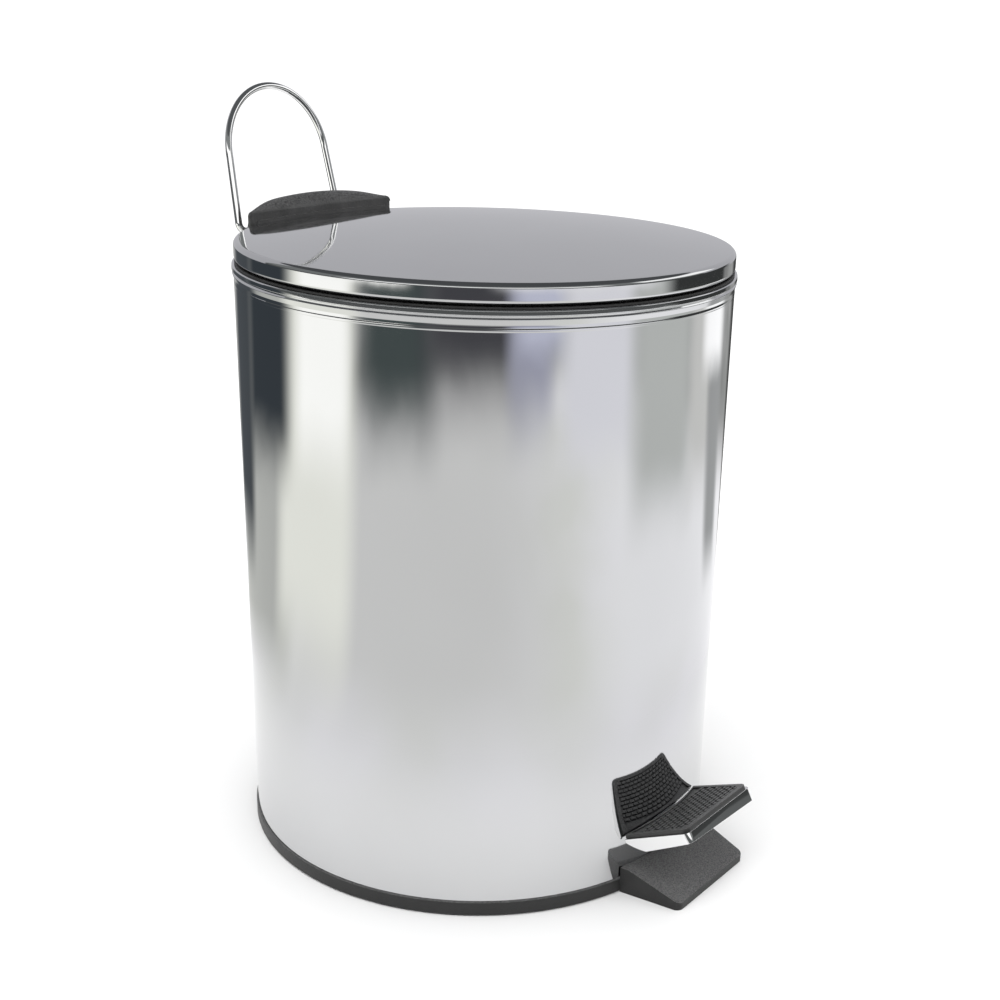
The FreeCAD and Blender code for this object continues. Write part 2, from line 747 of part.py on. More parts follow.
def make_bracket_screws():
    """Two screws up through the bracket and the lid into the cover."""
    screws = []
    for i, x in enumerate(("-screw_out", "screw_out")):
        shank = cylinder(f"ScrewShank{i}", "screw_radius", "7.4", (x, "screw_y", "bracket_low - 0.4"))
        head = cylinder(f"ScrewHead{i}", "screw_head", "1.2", (x, "screw_y", "bracket_low - 1.2"))
        screws.append(fuse(f"Screw{i}", [shank, head]))
    return finish(group("BracketScrews", screws), "bracket_screws")


def make_lid_bumpers():
    """Soft stops inside the lid that land on the liner's flange."""
    foot = "body_top + flange_gauge + bumper_gap"
    stops = []
    for i, angle in enumerate((25, 155)):
        stops.append(cylinder(f"Bumper{i}", "bumper_radius", f"lid_edge - lid_wall + bumper_gap - ({foot})",
                              (f"bumper_circle * cos({angle})", f"bumper_circle * sin({angle})", foot)))
    return finish(group("LidBumpers", stops), "lid_bumpers")


# ---- pedal ---------------------------------------------------------------------------------------

TREAD_TURN = Rotation(Vector(0, 0, 1), 180).multiply(Rotation(Vector(1, 0, 0), value("tread_slope")))
TREAD_PLACE = ("0", "-tread_back", "tread_back_height")


def tread_plan(sketch, inset, rear_inset):
    """The tread seen from above: a curved back edge, tapered sides and rounded front corners."""
    back = f"tread_half_back - {inset}"
    front = f"tread_half_front - {inset}"
    far = f"tread_length - {inset}"
    rear = f"-tread_corner_back + {rear_inset}"
    return outline(sketch, [
        (f"-({back})", rear),
        (back, rear),
        (front, f"{far} - tread_cut_side"),
        (f"{front} - tread_cut_front", far),
        (f"-({front} - tread_cut_front)", far),
        (f"-({front})", f"{far} - tread_cut_side"),
    ], through={
        0: ("0", rear_inset),
        2: (f"{front} - tread_cut_front * 0.28", f"{far} - tread_cut_side * 0.28"),
        4: (f"-({front} - tread_cut_front * 0.28)", f"{far} - tread_cut_side * 0.28"),
    })


def make_tread_plate():
    """Pressed steel tray with its front and sides turned down."""
    block = doc.addObject("PartDesign::Body", "TreadBlock")
    pad = block.newObject("PartDesign::Pad", "TreadBlockPad")
    pad.Profile = tread_plan(sketch_on(block, "TreadBlockPlan", "XY_Plane"), "0", "0")
    pad.setExpression("Length", bound("flange_depth"))
    pad.Reversed = True
    place(block, TREAD_PLACE, TREAD_TURN)
    hollow = doc.addObject("PartDesign::Body", "TreadHollow")
    inside = hollow.newObject("PartDesign::Pad", "TreadHollowPad")
    inside.Profile = outline(sketch_on(hollow, "TreadHollowPlan", "XY_Plane", "-tread_gauge"), [
        ("-tread_half_back + tread_gauge", "-15"),
        ("tread_half_back - tread_gauge", "-15"),
        ("tread_half_back - tread_gauge", "-tread_corner_back"),
        ("tread_half_front - tread_gauge", "tread_length - 3.6"),
        ("tread_half_front - 3.6", "tread_length - tread_gauge"),
        ("-tread_half_front + 3.6", "tread_length - tread_gauge"),
        ("-tread_half_front + tread_gauge", "tread_length - 3.6"),
        ("-tread_half_back + tread_gauge", "-tread_corner_back"),
    ])
    inside.setExpression("Length", bound("flange_depth + 5"))
    inside.Reversed = True
    place(hollow, TREAD_PLACE, TREAD_TURN)
    under = doc.addObject("PartDesign::Body", "TreadUnder")
    below = under.newObject("PartDesign::Pad", "TreadUnderPad")
    below.Profile = outline(sketch_on(under, "TreadUnderProfile", "YZ_Plane", "-40"), [
        ("-10", "-1.3"),
        ("-tread_corner_back", "-1.6"),
        ("tread_length + 5", "-4.2"),
        ("tread_length + 5", "-20"),
        ("-10", "-20"),
    ], through={1: ("4", "-flange_depth + 0.1")})
    below.Length = 80.0
    place(under, TREAD_PLACE, TREAD_TURN)
    tool = fuse("TreadWaste", [hollow, under] + tread_holes("TreadHole"))
    return finish(cut("TreadPlate", block, tool), "tread_plate")


RIVET_PLACES = (("-5.5", "11"), ("5.5", "11"))


def tread_holes(name):
    """Rivet bores, square to the sloping tread."""
    tools = []
    for i, (x, along) in enumerate(RIVET_PLACES):
        tools.append(tread_round(f"{name}{i}", "tread_rivet_radius", "12", x, along, "-8"))
    return tools


def tread_round(name, radius, height, x, along, level):
    """A cylinder square to the tread, at a place measured along the slope."""
    slope = "tread_slope"
    at = (x,
          f"-tread_back - ({along}) * cos({slope}) + ({level}) * sin({slope})",
          f"tread_back_height + ({along}) * sin({slope}) + ({level}) * cos({slope})")
    return cylinder(name, radius, height, at, TREAD_TURN)


def make_tread_pad():
    """Rubber pad bonded to the tread, with holes over the rivet heads' recesses."""
    body = doc.addObject("PartDesign::Body", "PadBody")
    pad = body.newObject("PartDesign::Pad", "PadBodyPad")
    pad.Profile = tread_plan(sketch_on(body, "PadPlan", "XY_Plane"), "pad_inset", "pad_rear_inset")
    pad.setExpression("Length", bound("pad_height"))
    place(body, TREAD_PLACE, TREAD_TURN)
    recesses = [tread_round(f"PadRecess{i}", "tread_rivet_head + 0.2", "clip_gauge", x, along, "0")
                for i, (x, along) in enumerate(RIVET_PLACES)]
    return finish(cut("TreadPad", body, fuse("PadRecesses", recesses)), "tread_pad")


def make_tread_rivets():
    """Two rivets that hold the tread to the lever, hidden under the pad."""
    rivets = []
    for i, (x, along) in enumerate(RIVET_PLACES):
        shank = tread_round(f"TreadShank{i}", "tread_rivet_radius", "4.0", x, along, "-3.6")
        head = tread_round(f"TreadHead{i}", "tread_rivet_head", "0.6", x, along, "0")
        tail = tread_round(f"TreadTail{i}", "tread_rivet_tail", "0.8", x, along,
                           "-tread_gauge - lever_gauge - 0.8")
        rivets.append(fuse(f"TreadRivet{i}", [shank, head, tail]))
    return finish(group("TreadRivets", rivets), "tread_rivets")


def make_pedal_lever():
    """Pressed steel lever: a sloping front, ears round the axle and an upturned ear for the rod."""
    rise = "tan(tread_slope)"
    under_tread = "tread_back_height - tread_gauge / cos(tread_slope)"
    gauge = "lever_gauge / cos(tread_slope)"
    strip = slab("LeverStrip", [
        ("-tread_back - 18", f"{under_tread} + 18 * {rise}"),
        ("-tread_back - 0.5", f"{under_tread} + 0.5 * {rise}"),
        ("-pivot_out - 9", "pivot_height + 6.0"),
        ("-pivot_out + 7", "pivot_height + 4.8"),
        ("40", "8.2"),
        ("rod_foot + 4", "7.4"),
        ("rod_foot + 4", "5.4"),
        ("40", "6.2"),
        ("-pivot_out + 7", "pivot_height + 2.8"),
        ("-pivot_out - 9", "pivot_height + 3.9"),
        ("-tread_back - 0.5", f"{under_tread} + 0.5 * {rise} - {gauge}"),
        ("-tread_back - 18", f"{under_tread} + 18 * {rise} - {gauge}"),
    ], "-lever_half", "lever_half")
    ears = []
    for i, (low, high) in enumerate((("lever_half - lever_ear_gauge", "lever_half"),
                                     ("-lever_half", "-lever_half + lever_ear_gauge"))):
        ears.append(slab(f"LeverEar{i}", [
            ("-pivot_out - 11", "pivot_height + 5.5"),
            ("-pivot_out - 4.2", "pivot_height - 3.4"),
            ("-pivot_out + 4.2", "pivot_height - 3.4"),
            ("-pivot_out + 11", "pivot_height + 3.8"),
        ], low, high))
    rod_ear = slab("LeverRodEar", [
        ("rod_foot - 4", "6.5"),
        ("rod_foot + 4", "6.5"),
        ("rod_foot + 4", "pivot_height + 1.5"),
        ("rod_foot + 1.5", "pivot_height + 4"),
        ("rod_foot - 1.5", "pivot_height + 4"),
        ("rod_foot - 4", "pivot_height + 1.5"),
    ], "ear_near", "ear_near + ear_gauge")
    # the strip is cut away beside the ear so that the rod's hook has room
    room = box("LeverRodRoom", ("-lever_half - 1", "rod_foot - 5", "0"),
               ("ear_near", "rod_foot + 6", "20"))
    room_far = box("LeverRodRoomFar", ("ear_near + ear_gauge", "rod_foot - 5", "0"),
                   ("lever_half + 1", "rod_foot + 6", "20"))
    solid = fuse("LeverSolid", [cut("LeverStripCut", strip, fuse("LeverRooms", [room, room_far]))]
                 + ears + [rod_ear])
    waste = [
        across("LeverBore", "axle_radius + running_gap", "-30", "30", "-pivot_out", "pivot_height"),
        across("LeverRodBore", "rod_radius + running_gap", "0", "20", "rod_foot", "pivot_height"),
    ] + tread_holes("LeverHole")
    return finish(cut("PedalLever", solid, fuse("LeverWaste", waste)), "pedal_lever")


# ---- rod -----------------------------------------------------------------------------------------

def make_push_rod():
    """Straight rod with both ends hooked to one side."""
    reach = "ear_near + ear_gauge + rod_hook"
    body = wire("PushRod", [
        (reach, "0"),
        ("0", "0"),
        ("0", "crank_height - pivot_height"),
        (reach, "crank_height - pivot_height"),
    ], ["rod_bend", "rod_bend"], "rod_radius")
    place(body, ("0", "rod_foot", "pivot_height"))
    return finish(body, "push_rod")


def make_rod_clips():
    """Push-on washers on the two hooked ends."""
    near = "ear_near + ear_gauge + rod_clip_gap"
    clips = []
    for i, level in enumerate(("pivot_height", "crank_height")):
        disc = across(f"RodClipDisc{i}", "rod_clip_radius", near, f"{near} + clip_gauge", "rod_foot", level)
        hole = across(f"RodClipHole{i}", "rod_radius", f"{near} - 1", f"{near} + 2", "rod_foot", level)
        clips.append(cut(f"RodClip{i}", disc, hole))
    return finish(group("RodClips", clips), "rod_clips")


# ---- carrying handle -----------------------------------------------------------------------------

def make_carry_handle():
    """Arched wire with both feet turned inward into the ears of the hinge cover."""
    body = wire("CarryHandle", [
        ("-grip_end", "0"),
        ("-grip_half", "0"),
        ("-grip_arch", "grip_leg + grip_arch"),
        ("grip_arch", "grip_leg + grip_arch"),
        ("grip_half", "0"),
        ("grip_end", "0"),
    ], ["grip_foot_bend", "grip_arch * 0.94", "grip_arch * 0.94", "grip_foot_bend"], "grip_wire")
    place(body, ("0", "grip_y", "hinge_height"), Rotation(Vector(1, 0, 0), -value("grip_lean")))
    return finish(body, "carry_handle")


BUILDERS = (
    make_outer_body, make_base_tray, make_foot_pads, make_lever_axle, make_axle_clips,
    make_liner_bucket, make_liner_bail, make_hinge_block, make_block_rivets, make_hinge_pin,
    make_lid_shell, make_hinge_cover, make_lift_bracket, make_bracket_screws, make_lid_bumpers,
    make_tread_plate, make_tread_pad, make_tread_rivets, make_pedal_lever,
    make_push_rod, make_rod_clips, make_carry_handle,
)
for build in BUILDERS:
    build()
doc.recompute()

for obj in doc.Objects:
    if {"Invalid", "Error"} & set(obj.State):
        raise RuntimeError(f"{obj.Name} failed: {obj.State}")
for piece in pieces:
    if piece.Shape.isNull() or not piece.Shape.isValid():
        raise RuntimeError(f"{piece.Label} has no valid shape")
for piece in pieces:
    piece.Shape.exportStep(f"parts/{piece.Label}.step")
    solids = piece.Shape.Solids
    print(f"{piece.Label}: {len(solids)} solid(s), {sum(s.Volume for s in solids):.0f} mm3")
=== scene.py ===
import json
import math

import bmesh
import bpy
from mathutils import Matrix, Vector


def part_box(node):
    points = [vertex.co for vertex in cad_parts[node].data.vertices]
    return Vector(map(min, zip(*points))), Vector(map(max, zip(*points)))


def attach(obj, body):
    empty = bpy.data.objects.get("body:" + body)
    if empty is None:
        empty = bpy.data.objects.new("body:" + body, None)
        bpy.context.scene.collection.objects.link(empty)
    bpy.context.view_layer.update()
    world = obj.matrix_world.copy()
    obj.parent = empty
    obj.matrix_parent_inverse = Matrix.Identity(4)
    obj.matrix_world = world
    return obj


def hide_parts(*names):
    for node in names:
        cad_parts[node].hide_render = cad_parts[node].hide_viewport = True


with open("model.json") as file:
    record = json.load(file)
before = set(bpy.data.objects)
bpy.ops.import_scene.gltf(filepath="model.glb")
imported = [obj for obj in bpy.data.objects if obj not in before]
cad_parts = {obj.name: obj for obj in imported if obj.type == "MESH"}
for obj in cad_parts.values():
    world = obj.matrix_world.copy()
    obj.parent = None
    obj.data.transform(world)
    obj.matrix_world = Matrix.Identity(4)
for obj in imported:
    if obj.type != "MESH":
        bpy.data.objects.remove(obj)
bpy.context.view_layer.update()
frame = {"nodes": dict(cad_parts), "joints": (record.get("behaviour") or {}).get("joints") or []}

MM = 0.001


# ---- main sizes ------------------------------------------------------------------------------------

def low(node):
    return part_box(node)[0]


def high(node):
    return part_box(node)[1]


def joint_place(name):
    joint = next(item for item in frame["joints"] if item["name"] == name)
    return Vector(joint["pos_m"])


HEM_RADIUS = high("outer_body").x
HEM_PROUD = 0.8 * MM
BODY_RADIUS = HEM_RADIUS - HEM_PROUD
BODY_WALL = 0.7 * MM
BODY_LOW = low("outer_body").z
BODY_TOP = high("outer_body").z
LID_RADIUS = high("lid_shell").x
LID_LOW = low("lid_shell").z
LID_TOP = high("lid_shell").z
LID_DOME = 5.8 * MM
LID_EDGE = LID_TOP - LID_DOME
LID_WALL = 0.6 * MM
LID_CURL = LID_RADIUS - 2.1 * MM
HINGE = joint_place("lid_open")
GRIP = joint_place("handle_swing")


# ---- mesh helpers ----------------------------------------------------------------------------------

def new_object(name, mesh):
    obj = bpy.data.objects.new(name, mesh)
    bpy.context.scene.collection.objects.link(obj)
    return obj


def from_faces(name, points, faces):
    mesh = bpy.data.meshes.new(name)
    mesh.from_pydata([tuple(point) for point in points], [], faces)
    mesh.update()
    return new_object(name, mesh)


def tidy_normals(obj):
    """Merge doubled points and turn every face outward."""
    work = bmesh.new()
    work.from_mesh(obj.data)
    bmesh.ops.remove_doubles(work, verts=work.verts, dist=0.002 * MM)
    bmesh.ops.recalc_face_normals(work, faces=work.faces)
    work.to_mesh(obj.data)
    work.free()
    return obj


def apply_modifiers(obj):
    """Turn the modifier stack into plain mesh."""
    view = bpy.context.evaluated_depsgraph_get()
    view.update()
    mesh = bpy.data.meshes.new_from_object(obj.evaluated_get(view))
    obj.modifiers.clear()
    obj.data = mesh
    return obj


def smooth(obj, angle=30):
    """Smooth shading that stays sharp beyond the angle and keeps large faces flat."""
    obj.data.polygons.foreach_set("use_smooth", [True] * len(obj.data.polygons))
    obj.data.set_sharp_from_angle(angle=math.radians(angle))
    modifier = obj.modifiers.new("Weighted", "WEIGHTED_NORMAL")
    modifier.mode = "FACE_AREA"
    modifier.weight = 80
    modifier.keep_sharp = True
    return apply_modifiers(obj)


def bevelled(obj, width, segments=3, angle=35):
    """Round every edge that is sharper than the angle."""
    modifier = obj.modifiers.new("Round", "BEVEL")
    modifier.width = width
    modifier.segments = segments
    modifier.limit_method = "ANGLE"
    modifier.angle_limit = math.radians(angle)
    return apply_modifiers(obj)


def cut_away(obj, tool):
    """Take the tool's volume out of the object."""
    modifier = obj.modifiers.new("Cut", "BOOLEAN")
    modifier.operation = "DIFFERENCE"
    modifier.solver = "EXACT"
    modifier.object = tool
    apply_modifiers(obj)
    bpy.data.objects.remove(tool)
    return obj


def joined(name, parts):
    """One object made of several meshes."""
    work = bmesh.new()
    for part in parts:
        part.data.transform(part.matrix_world)
        work.from_mesh(part.data)
        bpy.data.objects.remove(part)
    mesh = bpy.data.meshes.new(name)
    work.to_mesh(mesh)
    work.free()
    return new_object(name, mesh)


def rounded(points, radii, steps=6):
    """A polyline whose inner corners are arcs; a radius of 0 keeps a corner sharp."""
    path = [Vector(points[0])]
    for index in range(1, len(points) - 1):
        here = Vector(points[index])
        back = Vector(points[index - 1]) - here
        ahead = Vector(points[index + 1]) - here
        radius = radii[index - 1]
        if radius <= 0:
            path.append(here)
            continue
        back.normalize()
        ahead.normalize()
        half = back.angle(ahead) / 2
        middle = here + (back + ahead).normalized() * radius / math.sin(half)
        start = here + back * radius / math.tan(half) - middle
        end = here + ahead * radius / math.tan(half) - middle
        turn = start.angle(end)
        for step in range(steps + 1):
            share = step / steps
            spread = (math.sin((1 - share) * turn) * start + math.sin(share * turn) * end)
            path.append(middle + spread / math.sin(turn))
    path.append(Vector(points[-1]))
    return path


def arc_through(start, middle, end, steps):
    """Points of the circular arc from start to end that passes the middle point."""
    a, b, c = Vector(start), Vector(middle), Vector(end)
    d = 2 * (a.x * (b.y - c.y) + b.x * (c.y - a.y) + c.x * (a.y - b.y))
    squares = [p.length_squared for p in (a, b, c)]
    centre = Vector((
        (squares[0] * (b.y - c.y) + squares[1] * (c.y - a.y) + squares[2] * (a.y - b.y)) / d,
        (squares[0] * (c.x - b.x) + squares[1] * (a.x - c.x) + squares[2] * (b.x - a.x)) / d))
    first = math.atan2(a.y - centre.y, a.x - centre.x)
    passing = math.atan2(b.y - centre.y, b.x - centre.x)
    last = math.atan2(c.y - centre.y, c.x - centre.x)
    full = 2 * math.pi
    sweep = (last - first) % full
    if (passing - first) % full > sweep:
        sweep -= full
    radius = (a - centre).length
    return [centre + radius * Vector((math.cos(first + sweep * i / steps),
                                      math.sin(first + sweep * i / steps)))
            for i in range(steps + 1)]


def lathe(name, profile, segments=384):
    """Turn a closed (radius, height) outline about Z. Points on the axis become poles."""
    points, rings, faces = [], [], []
    for radius, height in profile:
        if radius < 1e-7:
            rings.append([len(points)] * segments)
            points.append((0, 0, height))
            continue
        rings.append([len(points) + i for i in range(segments)])
        points += [(radius * math.cos(2 * math.pi * i / segments),
                    radius * math.sin(2 * math.pi * i / segments), height)
                   for i in range(segments)]
    for here, ahead in zip(rings, rings[1:] + rings[:1]):
        for i in range(segments):
            j = (i + 1) % segments
            face = list(dict.fromkeys((here[i], here[j], ahead[j], ahead[i])))
            if len(face) > 2:
                faces.append(face)
    return tidy_normals(from_faces(name, points, faces))


def prism(name, outline, depth, place=Matrix.Identity(4)):
    """A flat outline in (x, y), raised from 0 to depth along z, then placed."""
    count = len(outline)
    points = [Vector((x, y, 0)) for x, y in outline] + [Vector((x, y, depth)) for x, y in outline]
    faces = [list(range(count)), list(range(2 * count - 1, count - 1, -1))]
    faces += [[i, (i + 1) % count, (i + 1) % count + count, i + count] for i in range(count)]
    return tidy_normals(from_faces(name, [place @ point for point in points], faces))


def tube(name, path, radius, sides=24):
    """A round wire along a dense path, with flat ends."""
    points, faces = [], []
    normal = None
    for index, here in enumerate(path):
        before = path[max(index - 1, 0)]
        after = path[min(index + 1, len(path) - 1)]
        along = (after - before).normalized()
        if normal is None:
            normal = along.orthogonal().normalized()
        normal = (normal - along * normal.dot(along)).normalized()
        side = along.cross(normal)
        for k in range(sides):
            turn = 2 * math.pi * k / sides
            points.append(here + radius * (math.cos(turn) * normal + math.sin(turn) * side))
    for index in range(len(path) - 1):
        for k in range(sides):
            a, b = index * sides + k, index * sides + (k + 1) % sides
            faces.append([a, b, b + sides, a + sides])
    faces.append(list(range(sides)))
    faces.append(list(range((len(path) - 1) * sides, len(path) * sides)))
    return smooth(tidy_normals(from_faces(name, points, faces)), 50)


def softened(node, name, width, segments=2, angle=35):
    """A copy of a CAD node's mesh with its edges rounded."""
    source = frame["nodes"][node]
    work = bmesh.new()
    work.from_mesh(source.data)
    bmesh.ops.remove_doubles(work, verts=work.verts, dist=0.005 * MM)
    bmesh.ops.dissolve_limit(work, angle_limit=math.radians(1.0), verts=work.verts,
                             edges=work.edges)
    mesh = bpy.data.meshes.new(name)
    work.to_mesh(mesh)
    work.free()
    obj = new_object(name, mesh)
    return smooth(bevelled(obj, width, segments, angle), 50)


# ---- materials -------------------------------------------------------------------------------------

def new_material(name):
    """A material with a Principled shader, and its node tree."""
    material = bpy.data.materials.new(name)
    material.use_nodes = True
    shader = material.node_tree.nodes["Principled BSDF"]
    return material, material.node_tree, shader


def node(tree, kind, **settings):
    made = tree.nodes.new(kind)
    for key, amount in settings.items():
        setattr(made, key, amount)
    return made


def stretched_noise(tree, scale, detail=4.0, roughness=0.55):
    """Noise over the object's own coordinates; scale is features per metre along x, y and z."""
    where = node(tree, "ShaderNodeTexCoord")
    mapping = node(tree, "ShaderNodeMapping")
    mapping.inputs["Scale"].default_value = scale
    noise = node(tree, "ShaderNodeTexNoise")
    noise.inputs["Scale"].default_value = 1.0
    noise.inputs["Detail"].default_value = detail
    noise.inputs["Roughness"].default_value = roughness
    tree.links.new(where.outputs["Object"], mapping.inputs["Vector"])
    tree.links.new(mapping.outputs["Vector"], noise.inputs["Vector"])
    return noise.outputs["Fac"]


def ramp(tree, source, stops):
    """A colour ramp from (position, colour) stops."""
    made = node(tree, "ShaderNodeValToRGB")
    elements = made.color_ramp.elements
    while len(elements) < len(stops):
        elements.new(0.5)
    for element, (position, colour) in zip(elements, stops):
        element.position = position
        element.color = (*colour, 1.0)
    tree.links.new(source, made.inputs["Fac"])
    return made.outputs["Color"]


def between(tree, source, start, end):
    """Map a 0..1 value to the range start..end."""
    made = node(tree, "ShaderNodeMapRange")
    made.inputs["To Min"].default_value = start
    made.inputs["To Max"].default_value = end
    tree.links.new(source, made.inputs["Value"])
    return made.outputs["Result"]


def faded(tree, source, start, end):
    """Smooth 0..1 step as the source goes from start to end."""
    step = node(tree, "ShaderNodeMapRange", interpolation_type="SMOOTHSTEP")
    step.inputs["From Min"].default_value = start
    step.inputs["From Max"].default_value = end
    tree.links.new(source, step.inputs["Value"])
    return step.outputs["Result"]


def mixed(tree, share, first, second):
    made = node(tree, "ShaderNodeMix", data_type="RGBA")
    tree.links.new(share, made.inputs["Factor"])
    for socket, given in ((made.inputs["A"], first), (made.inputs["B"], second)):
        if isinstance(given, tuple):
            socket.default_value = (*given, 1.0)
        else:
            tree.links.new(given, socket)
    return made.outputs["Result"]


def math_node(tree, operation, first, second):
    made = node(tree, "ShaderNodeMath", operation=operation)
    for socket, given in zip(made.inputs, (first, second)):
        if isinstance(given, float):
            socket.default_value = given
        else:
            tree.links.new(given, socket)
    return made.outputs["Value"]


def add_bump(tree, shader, height, strength, distance):
    bump = node(tree, "ShaderNodeBump")
    bump.inputs["Strength"].default_value = strength
    bump.inputs["Distance"].default_value = distance
    tree.links.new(height, bump.inputs["Height"])
    tree.links.new(bump.outputs["Normal"], shader.inputs["Normal"])


def grey(level, tint=(1.0, 1.0, 1.0)):
    return tuple(level * part for part in tint)


def metal(name, dark, light, rough, grain, bump):
    """Bare or plated metal: grain is the noise scale along x, y and z."""
    material, tree, shader = new_material(name)
    shader.inputs["Metallic"].default_value = 1.0
    fine = stretched_noise(tree, grain)
    broad = stretched_noise(tree, (14, 14, 9), detail=2.0)
    tree.links.new(ramp(tree, broad, [(0.3, dark), (0.7, light)]), shader.inputs["Base Color"])
    tree.links.new(between(tree, fine, rough[0], rough[1]), shader.inputs["Roughness"])
    add_bump(tree, shader, fine, bump[0], bump[1])
    return material


def moulded(name, dark, light, top_sheen_gain, rough, grain_size, bump, specular=0.5):
    """Moulded plastic or rubber: fine grain, and a painted sheen: the colour is made paler by the
    given factor where a face looks up, standing in for the light that tops catch from above.
    """
    material, tree, shader = new_material(name)
    per_metre = 1.0 / grain_size
    fine = stretched_noise(tree, (per_metre,) * 3, detail=3.0, roughness=0.6)
    broad = stretched_noise(tree, (60, 60, 60), detail=3.0)
    side = ramp(tree, broad, [(0.3, dark), (0.75, light)])
    # painted sheen: this paler colour for faces that look up stands in for light caught from above,
    # laid over the real grain
    painted_top_sheen = ramp(tree, fine, [(0.36, tuple(0.7 * top_sheen_gain * part for part in dark)),
                             (0.64, tuple(1.3 * top_sheen_gain * part for part in light))])
    where = node(tree, "ShaderNodeTexCoord")
    split = node(tree, "ShaderNodeSeparateXYZ")
    tree.links.new(where.outputs["Normal"], split.inputs["Vector"])
    # the mix paints the paler sheen colour on faces whose normal points up, and keeps the plain tone
    # on the rest
    colour = mixed(tree, faded(tree, split.outputs["Z"], 0.25, 0.9), side, painted_top_sheen)
    tree.links.new(colour, shader.inputs["Base Color"])
    tree.links.new(between(tree, fine, rough[0], rough[1]), shader.inputs["Roughness"])
    shader.inputs["Specular IOR Level"].default_value = specular
    add_bump(tree, shader, fine, bump[0], bump[1])
    return material


STEEL_TINT = (0.985, 0.99, 1.0)
# in each moulded entry, the number after the two tones is painted sheen: how much paler faces that
# look up are drawn, standing in for light from above
MATERIALS = {
    "polished_steel": metal("polished_steel", grey(0.61, STEEL_TINT), grey(0.64, STEEL_TINT),
                            (0.03, 0.06), (60, 60, 700), (0.015, 0.02 * MM)),
    "chrome_plate": metal("chrome_plate", grey(0.84), grey(0.88), (0.03, 0.07),
                          (500, 500, 500), (0.03, 0.02 * MM)),
    "chrome_wire": metal("chrome_wire", grey(0.84), grey(0.88), (0.03, 0.08),
                         (700, 700, 700), (0.03, 0.02 * MM)),
    "zinc_steel": metal("zinc_steel", grey(0.42, (1.0, 1.0, 1.03)), grey(0.58, (1.0, 1.0, 1.03)),
                        (0.28, 0.45), (400, 400, 400), (0.15, 0.03 * MM)),
    "black_plastic": moulded("black_plastic", grey(0.010), grey(0.015), 7.0, (0.34, 0.50),
                             0.62 * MM, (0.75, 0.16 * MM), 0.45),
    "grained_plastic": moulded("grained_plastic", grey(0.027), grey(0.066), 1.1, (0.34, 0.50),
                               0.9 * MM, (1.0, 0.25 * MM), 0.6),
    "liner_plastic": moulded("liner_plastic", grey(0.013), grey(0.02), 1.3, (0.4, 0.55),
                             0.8 * MM, (0.2, 0.08 * MM)),
    "soft_rubber": moulded("soft_rubber", grey(0.012), grey(0.018), 5.5, (0.30, 0.42),
                           0.6 * MM, (0.2, 0.06 * MM), 0.7),
}


def finish_piece(obj, body, slot, *nodes, look=None):
    """Give a piece its material and its body, and hide the CAD nodes that it stands for."""
    obj.data.materials.clear()
    obj.data.materials.append(MATERIALS[look or slot])
    if nodes:
        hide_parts(*nodes)
    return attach(obj, body)


# ---- body ------------------------------------------------------------------------------------------

# rim outlines in millimetres: out from the body's wall, down from its top, corner radius
BEAD_OUTLINE = ((0, 5.4, 0), (0.05, 5.2, 0.1), (0.65, 3.3, 0.35), (0.10, 2.6, 0))
HEM_OUTLINE = ((0.10, 2.6, 0), (0.15, 2.2, 0.08), (0.80, 2.0, 0.35), (0.65, 0, 0.5),
               (-1.0, 0, 0.4), (-1.0, 2.1, 0), (-0.70, 2.6, 0))
RIB_START, RIB_CREST, RIB_END = BODY_TOP - 8.0 * MM, BODY_TOP - 7.2 * MM, BODY_TOP - 6.4 * MM
RIB_PROUD = 0.07 * MM
SLOT_HALF, SLOT_LOW, SLOT_HIGH = 12 * MM, 11 * MM, 26.5 * MM
SLOT_CORNER = 2 * MM
SLOT_DEPTH = 20 * MM


def rim_path(outline, steps):
    """The (radius, height) points of a rim outline, with its corners rounded."""
    points = [(BODY_RADIUS + out * MM, BODY_TOP - down * MM) for out, down, _ in outline]
    return rounded(points, [corner * MM for _, _, corner in outline[1:-1]], steps)


def make_bin_shell():
    """Rolled tube: hem, groove, shoulder bead and a fine rib, with the lever's slot."""
    inner = BODY_RADIUS - BODY_WALL
    outside = [(BODY_RADIUS, BODY_LOW)]
    outside += arc_through((BODY_RADIUS, RIB_START), (BODY_RADIUS + RIB_PROUD, RIB_CREST),
                           (BODY_RADIUS, RIB_END), 10)
    outside += rim_path(BEAD_OUTLINE, 8) + rim_path(HEM_OUTLINE, 6)[1:]
    shell = lathe("bin_shell", [tuple(p) for p in outside] + [(inner, BODY_LOW)])
    outline = rounded([(0, SLOT_LOW), (SLOT_HALF, SLOT_LOW), (SLOT_HALF, SLOT_HIGH),
                       (-SLOT_HALF, SLOT_HIGH), (-SLOT_HALF, SLOT_LOW), (0, SLOT_LOW)],
                      [SLOT_CORNER] * 4)[:-1]
    upright = (Matrix.Translation((0, -BODY_RADIUS + SLOT_DEPTH / 2, 0))
               @ Matrix.Rotation(math.pi / 2, 4, "X"))
    cut_away(shell, prism("slot_tool", [tuple(p) for p in outline], SLOT_DEPTH, upright))
    return finish_piece(smooth(shell, 35), "bin", "polished_steel", "outer_body")


def make_base_moulding():
    """Base ring, floor and toe, with moulded edges."""
    tray = softened("base_tray", "base_moulding", 0.7 * MM, 3, 40)
    return finish_piece(tray, "bin", "black_plastic", "base_tray")


# ---- lid -------------------------------------------------------------------------------------------

DOME_SPHERE = (LID_RADIUS ** 2 + LID_DOME ** 2) / (2 * LID_DOME)


def dome_height(radius):
    """Height of the lid's top surface at a distance from the axis."""
    return LID_TOP - DOME_SPHERE + math.sqrt(DOME_SPHERE ** 2 - radius ** 2)


